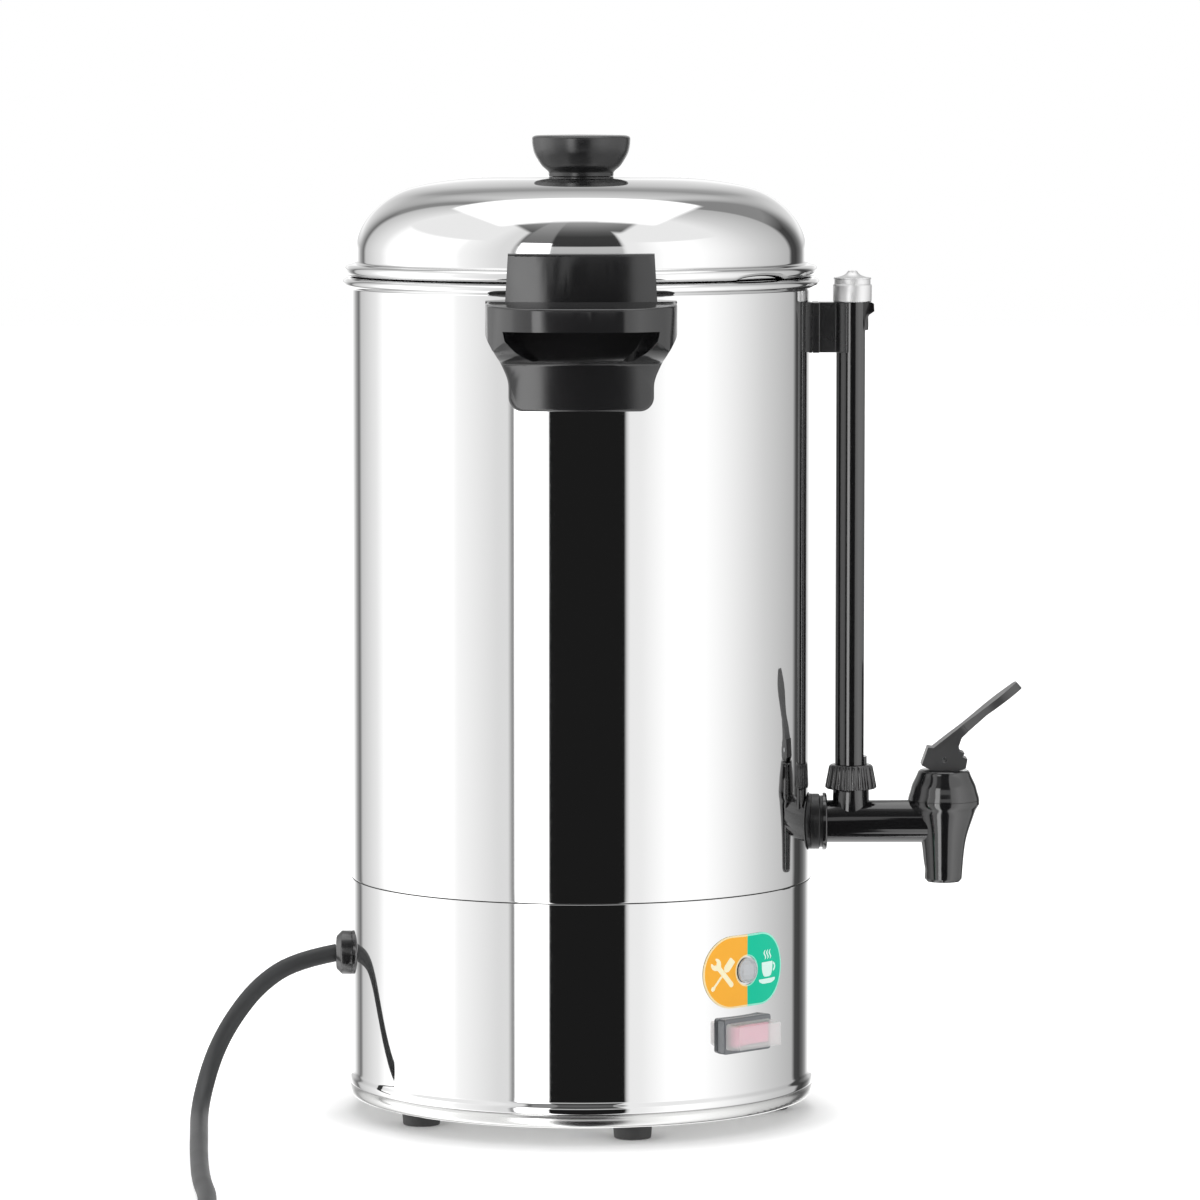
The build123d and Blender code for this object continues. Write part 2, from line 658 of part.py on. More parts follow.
save(disc_switch(-DISC_OFFSET, DISC_R), "thermostat")
save(disc_switch(DISC_OFFSET, CUTOUT_R), "boil_dry_cutout")

with BuildPart() as thermostat_bridge:
    with BuildSketch(Plane.XY.offset(BRIDGE_TOP_Z)):
        SlotOverall(2 * BRIDGE_HALF_SPAN + BRIDGE_WIDTH, BRIDGE_WIDTH)
        with Locations(*bridge_stud_places):
            Circle(BRIDGE_STUD_R + HOLE_GAP, mode=Mode.SUBTRACT)
    extrude(amount=-BRIDGE_THICKNESS)
save(thermostat_bridge.part, "thermostat_bridge")

# ================================================================================================
# Terminal block, earth stud and leads inside the base
# ================================================================================================
well_x = BLOCK_X + 4
live_y, neutral_y, earth_y = BLOCK_Y - 14, BLOCK_Y - 6, BLOCK_Y + 2
well_places = [(well_x, live_y), (well_x, neutral_y), (well_x, earth_y)]
lead_foot_z = BLOCK_TOP_Z - BLOCK_WELL_DEPTH + SEAT_GAP

with BuildPart() as terminal_block:
    with BuildSketch(Plane.XY.offset(BLOCK_FOOT_Z)):
        with Locations((BLOCK_X, BLOCK_Y)):
            RectangleRounded(BLOCK_WIDTH, BLOCK_LENGTH, 1.5)
    extrude(amount=BLOCK_HEIGHT)
    with BuildSketch(Plane.XY.offset(BLOCK_TOP_Z)):
        with Locations(*well_places):
            Circle(BLOCK_WELL_R)
        with Locations(*[(BLOCK_X - 3.5, y) for _, y in well_places]):
            Circle(BLOCK_SCREW_R)
    extrude(amount=-BLOCK_WELL_DEPTH, mode=Mode.SUBTRACT)
save(terminal_block.part, "terminal_block")

EARTH_TAG_Z = PAN_TOP_Z + 3.4
with BuildPart() as earth_stud:
    with BuildSketch(Plane.XY.offset(PAN_TOP_Z + SEAT_GAP)):
        with Locations((EARTH_X, EARTH_Y)):
            RegularPolygon(NUT_ACROSS / 2 + 0.5, 6, major_radius=False)
    extrude(amount=3.0)
    with BuildSketch(Plane.XY.offset(PAN_TOP_Z + SEAT_GAP)):
        with Locations((EARTH_X, EARTH_Y)):
            Circle(EARTH_STUD_R)
    extrude(amount=EARTH_STUD_HEIGHT)
    with BuildSketch(Plane.XY.offset(PAN_Z)):
        with Locations((EARTH_X, EARTH_Y)):
            Circle(EARTH_STUD_R - 0.5)
    extrude(amount=2.0)
    with BuildSketch(Plane.XY.offset(EARTH_TAG_Z)):
        with Locations((EARTH_X, EARTH_Y)):
            Circle(EARTH_TAG_R)
    extrude(amount=TAG_THICKNESS)
save(earth_stud.part, "earth_stud")


def lead(points, radius, limit):
    """A round lead along a route of straight runs joined by tangent arcs."""
    with BuildPart() as tube:
        with BuildLine():
            FilletPolyline(*points, radius=bend_radii(points, limit))
        start = Vector(*points[0])
        with BuildSketch(Plane(origin=start, z_dir=Vector(*points[1]) - start)):
            Circle(radius)
        sweep()
    return tube.part


tag_end_y = DISC_R + TAG_REACH
disc_tag_z = BRIDGE_TOP_Z + 3.9 + TAG_THICKNESS / 2
switch_low_z = SWITCH_Z - SWITCH_TAG_SPREAD / 2
switch_high_z = SWITCH_Z + SWITCH_TAG_SPREAD / 2
switch_tag_end = SWITCH_BACK - SWITCH_TAG_LENGTH - SEAT_GAP
switch_low = (*on_circle(switch_tag_end, SWITCH_ANGLE), switch_low_z)
switch_high = (*on_circle(switch_tag_end, SWITCH_ANGLE), switch_high_z)
tag_gap = LEAD_R + SEAT_GAP
leg_x, leg_y = element_leg[0], abs(element_leg[1])
leg_foot = ELEMENT_LEG_END_Z - SEAT_GAP

lead_routes = {
    "lead_live": [
        (well_x, live_y, lead_foot_z),
        (well_x, live_y, 36),
        (-36, -52, 44),
        (8, -50, 43),
        (*on_circle(66, SWITCH_ANGLE), switch_low_z),
        switch_low,
    ],
    "lead_switched": [
        switch_high,
        (*on_circle(64, SWITCH_ANGLE), switch_high_z + 2),
        (22, -34, 76),
        (-8, -30, 94),
        (-DISC_OFFSET, -24, disc_tag_z),
        (-DISC_OFFSET, -tag_end_y - SEAT_GAP, disc_tag_z),
    ],
    "lead_link": [
        (-DISC_OFFSET, tag_end_y + SEAT_GAP, disc_tag_z),
        (-DISC_OFFSET, tag_end_y + 9, disc_tag_z - 2),
        (DISC_OFFSET, tag_end_y + 9, disc_tag_z - 2),
        (DISC_OFFSET, tag_end_y + SEAT_GAP, disc_tag_z),
    ],
    "lead_element": [
        (DISC_OFFSET, -tag_end_y - SEAT_GAP, disc_tag_z),
        (DISC_OFFSET, -23, disc_tag_z - 1),
        (-6, -30, 84),
        (-32, -28, 72),
        (leg_x, -leg_y - 1, 68),
        (leg_x, -leg_y, leg_foot),
    ],
    "lead_neutral": [
        (leg_x, leg_y, leg_foot),
        (leg_x, leg_y, 66),
        (leg_x + 3, -8, 46),
        (well_x, neutral_y, 34),
        (well_x, neutral_y, lead_foot_z),
    ],
    "lead_earth": [
        (well_x, earth_y, lead_foot_z),
        (well_x, earth_y, 30),
        (-47, 2, 33),
        (-38, 21, 22),
        (EARTH_X, EARTH_Y - EARTH_TAG_R - 0.7, EARTH_TAG_Z + 0.5),
    ],
}
for lead_name, points in lead_routes.items():
    save(lead(points, LEAD_R, LEAD_BEND_R), lead_name)

tail_start_x = GLAND_FACE_X + GLAND_MOUTH_DEPTH + SEAT_GAP
cord_tail_route = [
    (tail_start_x, 0, GLAND_Z),
    (-80, 0, GLAND_Z),
    (-68, -3, 58),
    (BLOCK_X, -9, 42),
    (BLOCK_X, -9, BLOCK_TOP_Z + SEAT_GAP),
]
save(lead(cord_tail_route, CORD_R, LONGEST_BEND_R), "cord_tail")

# ================================================================================================
# Mains lead: gland, the lead down to the floor, its coil and the plug
# ================================================================================================
gland_tip_x = GLAND_FACE_X + GLAND_LENGTH
gland_axis = Axis((0, 0, GLAND_Z), (1, 0, 0))
gland_bore_r = CORD_R + SEAT_GAP

with BuildPart() as cord_gland:
    with BuildSketch(upright_plane(0, GLAND_Z)) as gland_head:
        with BuildLine():
            Polyline(
                (GLAND_FACE_X + GLAND_MOUTH_DEPTH, gland_bore_r),
                (GLAND_FACE_X + GLAND_MOUTH_DEPTH, GLAND_MOUTH_R - 0.6),
                (GLAND_FACE_X, GLAND_MOUTH_R),
                (GLAND_FACE_X, GLAND_R - GLAND_HEAD_CHAMFER),
                (GLAND_FACE_X + GLAND_HEAD_CHAMFER, GLAND_R),
                (-BODY_R + 1.0, GLAND_R),
                (-BODY_R + 1.0, gland_bore_r),
                close=True,
            )
        make_face()
        head_corners = gland_head.vertices().filter_by_position(Axis.Y, 7, GLAND_R + 1)
        fillet(head_corners.sort_by(Axis.X)[:2], radius=1.1)
    revolve(axis=gland_axis)
    # The head's back follows the skirt, and the neck goes through it.
    with BuildSketch(Plane.XY.offset(GLAND_Z - GLAND_R - 1)):
        Circle(WALL_SEAT_R)
    extrude(amount=2 * GLAND_R + 2, mode=Mode.SUBTRACT)
    with BuildSketch(upright_plane(0, GLAND_Z)):
        with BuildLine():
            Polyline(
                (GLAND_FACE_X + GLAND_HEAD / 2, gland_bore_r),
                (GLAND_FACE_X + GLAND_HEAD / 2, GLAND_NECK_R),
                (-TANK_BORE_R + 1.0, GLAND_NECK_R),
                (gland_tip_x, GLAND_NECK_END_R),
                (gland_tip_x, gland_bore_r),
                close=True,
            )
        make_face()
    revolve(axis=gland_axis)
save(cord_gland.part, "cord_gland")

# From the gland's mouth in an arc down to the floor, and forward along it.
cord_route = [
    (GLAND_FACE_X + 0.3, 0.0, GLAND_Z - 0.1),
    (-BODY_R - 26.9, -1.7, 71.4),
    (-BODY_R - 44.3, -4.3, 60.2),
    (-BODY_R - 57.2, -8.6, 44.0),
    (-BODY_R - 65.5, -17.0, 28.5),
    (-BODY_R - 70.1, -33.9, 12.0),
    (-BODY_R - 70.5, -56.7, CORD_R),
    (-BODY_R - 67.9, -98.3, CORD_R),
    (-BODY_R - 65.2, -147.5, CORD_R),
    (-BODY_R - 59.8, -223.2, CORD_R),
    (-BODY_R - 52.8, -274.2, CORD_R),
    (COIL_X - COIL_MEAN_R - CORD_R, -330.0, CORD_R),
    (COIL_X - COIL_MEAN_R - CORD_R, COIL_Y + COIL_TAIL, CORD_R),
]
print("cord bend radii", [round(radius, 1) for radius in bend_radii(cord_route, LONGEST_BEND_R)])
save(lead(cord_route, CORD_R, LONGEST_BEND_R), "power_cord")

# The lead beyond that lies in two layers of two turns, with its ends straight.
coil_lanes = [
    (COIL_MEAN_R + across * CORD_R, CORD_R + layer * 2 * CORD_R) for across in (-1, 1) for layer in (0, 1)
]
lane_r = COIL_MEAN_R + CORD_R
plug_tail_z = 3 * CORD_R
plug_tail_x = COIL_X + COIL_TAIL + PLUG_TAIL_R * sin(radians(PLUG_TILT)) + 0.02
coil_entry = Plane(origin=(COIL_X - lane_r, COIL_Y, CORD_R), z_dir=(0, 1, 0))
coil_exit = Plane(origin=(COIL_X, COIL_Y - lane_r, plug_tail_z), z_dir=(1, 0, 0))
with BuildPart() as cord_coil:
    with BuildSketch(Plane(origin=(COIL_X, COIL_Y, 0), x_dir=(1, 0, 0), z_dir=(0, -1, 0))):
        with Locations(*coil_lanes):
            Circle(CORD_R)
        with Locations((COIL_MEAN_R, 2 * CORD_R)):
            Rectangle(2 * CORD_R, 2 * CORD_R)
    revolve(axis=Axis((COIL_X, COIL_Y, 0), (0, 0, 1)))
    for end in (coil_entry, coil_exit):
        with BuildSketch(end):
            Circle(CORD_R - COIL_TAIL_GAP)
        extrude(amount=COIL_TAIL)
save(cord_coil.part, "cord_coil")

plug_along = (cos(radians(PLUG_TILT)), 0, sin(radians(PLUG_TILT)))
plug_plane = Plane(
    origin=(plug_tail_x, COIL_Y - lane_r, plug_tail_z), x_dir=plug_along, z_dir=(0, -1, 0)
)
plug_axis = Axis((plug_tail_x, COIL_Y - lane_r, plug_tail_z), plug_along)
rib_pitch = PLUG_TAIL / (PLUG_RIBS + 0.5)
with BuildPart() as plug_body:
    with BuildSketch(plug_plane) as plug_section:
        with BuildLine():
            Polyline(
                (0, 0),
                (0, PLUG_TAIL_R),
                (PLUG_TAIL, PLUG_TAIL_R + 2.5),
                (PLUG_LENGTH - PLUG_FRONT - 4, PLUG_R - 3),
                (PLUG_LENGTH - PLUG_FRONT, PLUG_R),
                (PLUG_LENGTH, PLUG_R),
                (PLUG_LENGTH, 0),
                close=True,
            )
        make_face()
        fillet(plug_section.vertices().sort_by(Axis.Y)[-2:], radius=1.0)
        for rib in range(PLUG_RIBS):
            with Locations(((rib + 0.8) * rib_pitch, PLUG_TAIL_R + 2.2)):
                Rectangle(rib_pitch * 0.4, 4.4, mode=Mode.SUBTRACT)
    revolve(axis=plug_axis)
    with BuildSketch(Plane(plug_axis.position + Vector(*plug_along) * PLUG_LENGTH, z_dir=plug_along)):
        with Locations((0, PLUG_R), (0, -PLUG_R)):
            Rectangle(5, 5)
    extrude(amount=-PLUG_FRONT, mode=Mode.SUBTRACT)
save(plug_body.part, "plug_body")

plug_face = Plane(
    origin=plug_axis.position + Vector(*plug_along) * (PLUG_LENGTH + 0.02),
    x_dir=(0, 1, 0),
    z_dir=plug_along,
)
with BuildPart() as plug_pins:
    with BuildSketch(plug_face):
        with Locations((-PLUG_PIN_SPREAD / 2, 0), (PLUG_PIN_SPREAD / 2, 0)):
            Circle(PLUG_PIN_R)
    extrude(amount=PLUG_PIN_LENGTH)
    fillet(plug_pins.edges().group_by(Axis.X)[-1], radius=1.6)
save(plug_pins.part, "plug_pins")

# ================================================================================================
# Lid and knob
# ================================================================================================
dome = [(share * LID_R, LID_TOP_Z - fall) for share, fall in LID_DOME]
inner_scale = (LID_R - LID_SHEET) / LID_R
inner_dome = [(r * inner_scale, z - LID_SHEET) for r, z in dome]
spigot_z = RIM_Z - LID_SPIGOT

with BuildPart() as lid:
    with BuildSketch(Plane.XZ) as lid_section:
        with BuildLine():
            outer = Spline(*dome, tangents=[(1, 0), (0, -1)])
            Polyline(
                outer @ 1,
                (LID_R, RIM_Z + 6.3),
                (LID_R + LID_FLANGE_REACH - 0.2, RIM_Z + 4.9),
                (LID_R + LID_FLANGE_REACH, RIM_Z + 2.2),
                (TANK_BORE_R + RIM_LAND, RIM_Z),
                (LID_R, RIM_Z),
                (LID_R, spigot_z),
                (LID_R - LID_SHEET, spigot_z),
                inner_dome[-1],
            )
            Spline(*inner_dome, tangents=[(1, 0), (0, -1)])
            Line(inner_dome[0], dome[0])
        make_face()
        fillet(lid_section.vertices().sort_by(Axis.X)[-2:], radius=0.8)
    revolve(axis=Axis.Z)
    with BuildSketch(Plane.XY.offset(LID_TOP_Z - 5)):
        Circle(KNOB_SCREW_R + HOLE_GAP)
        with Locations((-VENT_HOLE_OFFSET, 0), (VENT_HOLE_OFFSET, 0)):
            Circle(VENT_HOLE_R)
    extrude(amount=10, mode=Mode.SUBTRACT)
    # A short arch is raised in the lower edge of the bead.
    with BuildSketch(round_plane(NOTCH_ANGLE, LID_R + 0.6, RIM_Z)):
        with BuildLine():
            notch_half = LID_R * sin(radians(NOTCH_SPAN / 2))
            notch = Spline(
                (-notch_half, 0),
                (-notch_half + 4, NOTCH_HEIGHT * 0.8),
                (0, NOTCH_HEIGHT),
                (notch_half - 4, NOTCH_HEIGHT * 0.8),
                (notch_half, 0),
            )
            Polyline(notch @ 1, (notch_half, -2), (-notch_half, -2), notch @ 0)
        make_face()
    extrude(amount=8, mode=Mode.SUBTRACT)
save(lid.part, "lid")

with BuildPart() as knob_washer:
    with BuildSketch(Plane.XY.offset(LID_TOP_Z + SEAT_GAP)):
        Circle(KNOB_WASHER_R)
        Circle(KNOB_SCREW_R + HOLE_GAP, mode=Mode.SUBTRACT)
    extrude(amount=KNOB_WASHER_THICKNESS)
save(knob_washer.part, "knob_washer")

knob_top_z = KNOB_FOOT_Z + KNOB_HEIGHT
knob_flank = [(r, KNOB_FOOT_Z + rise) for r, rise in KNOB_FLANK]
with BuildPart() as lid_knob:
    with BuildSketch(Plane.XZ) as knob_section:
        with BuildLine():
            flank = Spline(*knob_flank, (KNOB_R, knob_top_z - KNOB_TOP_CORNER_R))
            Polyline(
                flank @ 1,
                (KNOB_R - 0.1, knob_top_z),
                (0, knob_top_z + 0.3),
                (0, KNOB_FOOT_Z),
                (KNOB_FOOT_R, KNOB_FOOT_Z),
                (KNOB_FOOT_R + 0.5, KNOB_FOOT_Z + 0.5),
                flank @ 0,
            )
        make_face()
        rim_corner = knob_section.vertices().filter_by_position(Axis.X, KNOB_R - 0.2, KNOB_R - 0.05)
        fillet(rim_corner, radius=KNOB_TOP_CORNER_R - 0.1)
    revolve(axis=Axis.Z)
    with BuildSketch(Plane.XY.offset(KNOB_FOOT_Z)):
        Circle(KNOB_SCREW_R + THREAD_GAP)
    extrude(amount=KNOB_SCREW_DEPTH + SCREW_CLEARANCE, mode=Mode.SUBTRACT)
save(lid_knob.part, "lid_knob")

knob_screw_seat = LID_TOP_Z - LID_SHEET - SEAT_GAP
with BuildPart() as knob_screw:
    with BuildSketch(Plane.XY.offset(knob_screw_seat)):
        Circle(KNOB_SCREW_HEAD_R)
    extrude(amount=-SCREW_HEAD_HEIGHT)
    fillet(knob_screw.edges().group_by(Axis.Z)[0], radius=1.0)
    with BuildSketch(Plane.XY.offset(knob_screw_seat)):
        Circle(KNOB_SCREW_R)
    extrude(amount=KNOB_FOOT_Z + KNOB_SCREW_DEPTH - knob_screw_seat)
save(knob_screw.part, "knob_screw")

# ================================================================================================
# Handles: one moulding, used at the front and, turned half round, at the back
# ================================================================================================
corner_x = (GRIP_FRONT_R - GRIP_CORNER_R) * sin(radians(GRIP_FRONT_ANGLE))
corner_y = GRIP_REACH - GRIP_FRONT_R + (GRIP_FRONT_R - GRIP_CORNER_R) * cos(radians(GRIP_FRONT_ANGLE))
grip_half_width = corner_x + GRIP_CORNER_R


def grip_lines(inset, back):
    """The grip's outline seen from above, drawn into the sketch that is open."""
    turn = GRIP_FRONT_ANGLE
    CenterArc((0, GRIP_REACH - GRIP_FRONT_R), GRIP_FRONT_R - inset, 90 - turn, 2 * turn)
    right = CenterArc((corner_x, corner_y), GRIP_CORNER_R - inset, 0, 90 - turn)
    left = CenterArc((-corner_x, corner_y), GRIP_CORNER_R - inset, 90 + turn, 90 - turn)
    half = grip_half_width - inset
    Polyline(right @ 0, (half, back), (-half, back), left @ 1)


with BuildPart() as handle:
    with BuildSketch(Plane.YZ) as handle_side:
        with BuildLine():
            top = Polyline(
                (HANDLE_FOOT_R, LEDGE_Z - 2.6),
                (HANDLE_FOOT_R, HANDLE_FOOT_Z),
                (WALL_SEAT_R + 0.2, HANDLE_FOOT_Z),
                (WALL_SEAT_R + 0.2, PAD_TOP_Z),
                (GUARD_R_IN, PAD_TOP_Z),
                (GUARD_R_IN + GUARD_LEAN / 2, GUARD_TOP_Z),
                (GUARD_R_OUT - GUARD_LEAN, GUARD_TOP_Z),
                (GUARD_R_OUT, GRIP_TOP_Z),
                (GRIP_REACH + 1.5, GRIP_TOP_Z - GRIP_FALL),
                (GRIP_REACH + 1.5, GRIP_Z),
            )
            Spline(
                top @ 1,
                (GRIP_REACH - 11.5, GRIP_Z - 9.0),
                (HANDLE_FOOT_R + 3.5, GRIP_Z - 13.6),
                top @ 0,
                tangents=[(-0.95, -0.3), (-0.1, -1)],
            )
        make_face()
        guard_corners = handle_side.vertices().group_by(Axis.Y)[-1]
        fillet(guard_corners, radius=1.4)
    revolve(axis=Axis.Z)
    with BuildSketch(Plane.XZ):
        with BuildLine():
            Line((0, HANDLE_FOOT_Z), (HANDLE_FOOT_HALF_WIDTH - HANDLE_FOOT_CORNER_R, HANDLE_FOOT_Z))
            RadiusArc(
                (HANDLE_FOOT_HALF_WIDTH - HANDLE_FOOT_CORNER_R, HANDLE_FOOT_Z),
                (HANDLE_FOOT_HALF_WIDTH, HANDLE_FOOT_Z + HANDLE_FOOT_CORNER_R),
                -HANDLE_FOOT_CORNER_R,
            )
            side = Line(
                (HANDLE_FOOT_HALF_WIDTH, HANDLE_FOOT_Z + HANDLE_FOOT_CORNER_R),
                (HANDLE_FOOT_HALF_WIDTH, HANDLE_FLARE_Z),
            )
            flare = Spline(
                side @ 1,
                *HANDLE_FLARE,
                (grip_half_width, GRIP_Z + 1.0),
                tangents=[(0, 1), (0, 1)],
            )
            Polyline(
                flare @ 1,
                (grip_half_width, GRIP_TOP_Z + 0.1),
                (GUARD_HALF_WIDTH, GRIP_TOP_Z + 0.1),
                (GUARD_HALF_WIDTH_TOP, GUARD_TOP_Z + 1),
                (0, GUARD_TOP_Z + 1),
            )
            mirror(about=Plane.YZ)
        make_face()
    extrude(amount=-GRIP_REACH - 10, mode=Mode.INTERSECT)
    with BuildSketch(Plane.XY.offset(HANDLE_FOOT_Z)):
        with BuildLine():
            grip_lines(0, 60)
        make_face()
    extrude(amount=GUARD_TOP_Z - HANDLE_FOOT_Z + 5, mode=Mode.INTERSECT)
    front_edges = handle.edges().filter_by_position(Axis.Y, HANDLE_FOOT_R - 10, GRIP_REACH + 1)
    top_z = GRIP_TOP_Z - GRIP_FALL
    fillet(front_edges.filter_by_position(Axis.Z, top_z - 0.3, GRIP_TOP_Z - 0.1), radius=GRIP_EDGE_R)
    low_edges = front_edges.filter_by_position(Axis.Z, HANDLE_FOOT_Z - 1, HANDLE_FLARE[0][1])
    fillet(low_edges, radius=HANDLE_FOOT_EDGE_R)
    # The finger recess under the grip, open to the front and hollow up into the grip.
    recess_face = Plane(origin=(0, RECESS_R, LEDGE_Z), x_dir=(-1, 0, 0), z_dir=(0, 1, 0))
    front_face = Plane(origin=(0, GRIP_REACH + 8, LEDGE_Z), x_dir=(-1, 0, 0), z_dir=(0, 1, 0))
    for face, half_top in ((recess_face, RECESS_HALF_WIDTH), (front_face, RECESS_HALF_WIDTH_FRONT)):
        with BuildSketch(face):
            with BuildLine():
                Polyline(
                    (-half_top, GRIP_Z - LEDGE_Z + 1),
                    *[(across - half_top, rise) for across, rise in RECESS_SIDE],
                    *[(half_top - across, rise) for across, rise in RECESS_SIDE[::-1]],
                    (half_top, GRIP_Z - LEDGE_Z + 1),
                    close=True,
                )
            make_face()
    loft(mode=Mode.SUBTRACT)
    with BuildSketch(Plane.XY.offset(GRIP_Z)):
        with BuildLine():
            grip_lines(GRIP_WALL, 60)
        make_face()
        with Locations((0, RECESS_R + 50)):
            Rectangle(2 * HOLLOW_HALF_WIDTH, 100, mode=Mode.INTERSECT)
    extrude(amount=GRIP_ROOF_Z - GRIP_Z, mode=Mode.SUBTRACT)
    for height in HANDLE_SCREW_Z:
        with BuildSketch(Plane(origin=(0, BODY_R, height), z_dir=(0, 1, 0))):
            Circle(WALL_SCREW_R + THREAD_GAP)
        extrude(amount=WALL_SCREW_LENGTH + SCREW_CLEARANCE, mode=Mode.SUBTRACT)
save(handle.part, "handle_rear")
save(handle.part.rotate(Axis.Z, 180), "handle_front")

with BuildPart() as wall_screws:
    for screw_angle, screw_height in wall_screw_places:
        with BuildSketch(round_plane(screw_angle, STEP_R, screw_height)):
            Circle(SCREW_HEAD_R)
        extrude(amount=-SCREW_HEAD_HEIGHT)
        with BuildSketch(round_plane(screw_angle, STEP_R, screw_height)):
            Circle(WALL_SCREW_R)
        extrude(amount=BODY_R - STEP_R + WALL_SCREW_LENGTH)
save(wall_screws.part, "wall_screws")

# ================================================================================================
# Tap: body, washers and nut
# ================================================================================================
shank_start = Plane(origin=(SHANK_END_X, 0, TAP_Z), z_dir=(1, 0, 0))
flange_start = Plane(origin=(FLANGE_X, 0, TAP_Z), z_dir=(1, 0, 0))
with BuildPart() as tap_body:
    with BuildSketch(shank_start):
        Circle(SHANK_THREAD_R)
    extrude(amount=FLANGE_X - SHANK_END_X + 1)
    chamfer(tap_body.edges().sort_by(Axis.X)[0], length=1.0)
    with BuildSketch(flange_start):
        Circle(FLANGE_R)
    extrude(amount=FLANGE_THICKNESS)
    fillet(tap_body.edges().sort_by(Axis.X)[-1], radius=0.8)
    with BuildSketch(flange_start):
        Circle(SHANK_R)
    extrude(amount=CUP_X - FLANGE_X - 8)
    with BuildSketch(Plane.XY.offset(TAP_Z + 2)):
        with Locations((GAUGE_X, 0)):
            Circle(GAUGE_NECK_R)
    extrude(amount=GAUGE_NECK_Z - TAP_Z - 2)
    # The bowl, its threaded neck and the spout are one turned outline.
    with BuildSketch(upright_plane(CUP_X)):
        with BuildLine():
            head = Polyline(
                (SPOUT_END_R, SPOUT_END_Z),
                (0, SPOUT_END_Z),
                (0, CUP_SHOULDER_Z + CUP_NECK_HEIGHT),
                (CUP_NECK_R, CUP_SHOULDER_Z + CUP_NECK_HEIGHT),
                (CUP_NECK_R, CUP_SHOULDER_Z),
                (CUP_R, CUP_SHOULDER_Z),
                (CUP_R, CUP_SHOULDER_Z - 1.9),
                CUP_FLANK[0],
            )
            bowl = Spline(*CUP_FLANK)
            Line(bowl @ 1, head @ 0)
        make_face()
    revolve(axis=upright_axis(CUP_X))
    with BuildSketch(Plane.XY.offset(GAUGE_NECK_Z)):
        with Locations((GAUGE_X, 0)):
            Circle(GAUGE_THREAD_R)
    extrude(amount=GAUGE_THREAD_TOP_Z - GAUGE_NECK_Z)
    # Waterways.
    with BuildSketch(upright_plane(CUP_X)):
        with BuildLine():
            Polyline(
                (0, SPOUT_END_Z - 1),
                (SPOUT_BORE_R, SPOUT_END_Z - 1),
                (SPOUT_BORE_R, SEAT_Z),
                (SEAT_R, SEAT_Z),
                (CUP_BORE_R, CUP_BORE_FOOT_Z),
                (CUP_BORE_R, CUP_SHOULDER_Z + CUP_NECK_HEIGHT + 1),
                (0, CUP_SHOULDER_Z + CUP_NECK_HEIGHT + 1),
                close=True,
            )
        make_face()
    revolve(axis=upright_axis(CUP_X), mode=Mode.SUBTRACT)
    with BuildSketch(shank_start):
        Circle(SHANK_BORE_R)
    extrude(amount=CUP_X - SHANK_END_X - 6, mode=Mode.SUBTRACT)
    with BuildSketch(Plane.XY.offset(TAP_Z)):
        with Locations((GAUGE_X, 0)):
            Circle(3.0)
    extrude(amount=20, mode=Mode.SUBTRACT)
    with BuildSketch(Plane.XY.offset(GLASS_FOOT_Z - SEAT_GAP)):
        with Locations((GAUGE_X, 0)):
            Circle(GLASS_R + GLASS_FIT)
    extrude(amount=20, mode=Mode.SUBTRACT)
save(tap_body.part, "tap_body")

with BuildPart() as tap_washer_outer:
    with BuildSketch(Plane(origin=(BODY_R - 2, 0, TAP_Z), z_dir=(1, 0, 0))):
        Circle(OUTER_WASHER_R)
    extrude(amount=FLANGE_X - BODY_R + 2 - OUTER_WASHER_GROOVE)
    fillet(tap_washer_outer.edges().sort_by(Axis.X)[-1], radius=0.6)
    with BuildSketch(Plane(origin=(FLANGE_X, 0, TAP_Z), z_dir=(1, 0, 0))):
        Circle(OUTER_WASHER_R - 0.9)
    extrude(amount=-OUTER_WASHER_GROOVE - 1)
    with BuildSketch(Plane(origin=(FLANGE_X, 0, TAP_Z), z_dir=(1, 0, 0))):
        Circle(SHANK_THREAD_R + SEAT_GAP)
    extrude(amount=-30, mode=Mode.SUBTRACT)
    with BuildSketch(Plane.XY.offset(TAP_Z - 20)):
        Circle(WALL_SEAT_R)
    extrude(amount=40, mode=Mode.SUBTRACT)
save(tap_washer_outer.part, "tap_washer_outer")

with BuildPart() as tap_washer_inner:
    with BuildSketch(Plane(origin=(STEP_R, 0, TAP_Z), z_dir=(1, 0, 0))):
        Circle(INNER_WASHER_R)
        Circle(SHANK_THREAD_R + SEAT_GAP, mode=Mode.SUBTRACT)
    extrude(amount=-INNER_WASHER_THICKNESS)
    with BuildSketch(Plane.XY.offset(TAP_Z - 20)):
        Circle(STEP_R)
    extrude(amount=40, mode=Mode.INTERSECT)
save(tap_washer_inner.part, "tap_washer_inner")

with BuildPart() as tap_nut:
    with BuildSketch(Plane(origin=(STEP_R - INNER_WASHER_THICKNESS, 0, TAP_Z), z_dir=(1, 0, 0))):
        RegularPolygon(TAP_NUT_ACROSS / 2, 6, major_radius=False)
        Circle(SHANK_THREAD_R + THREAD_GAP, mode=Mode.SUBTRACT)
    extrude(amount=-TAP_NUT_THICKNESS)
save(tap_nut.part, "tap_nut")

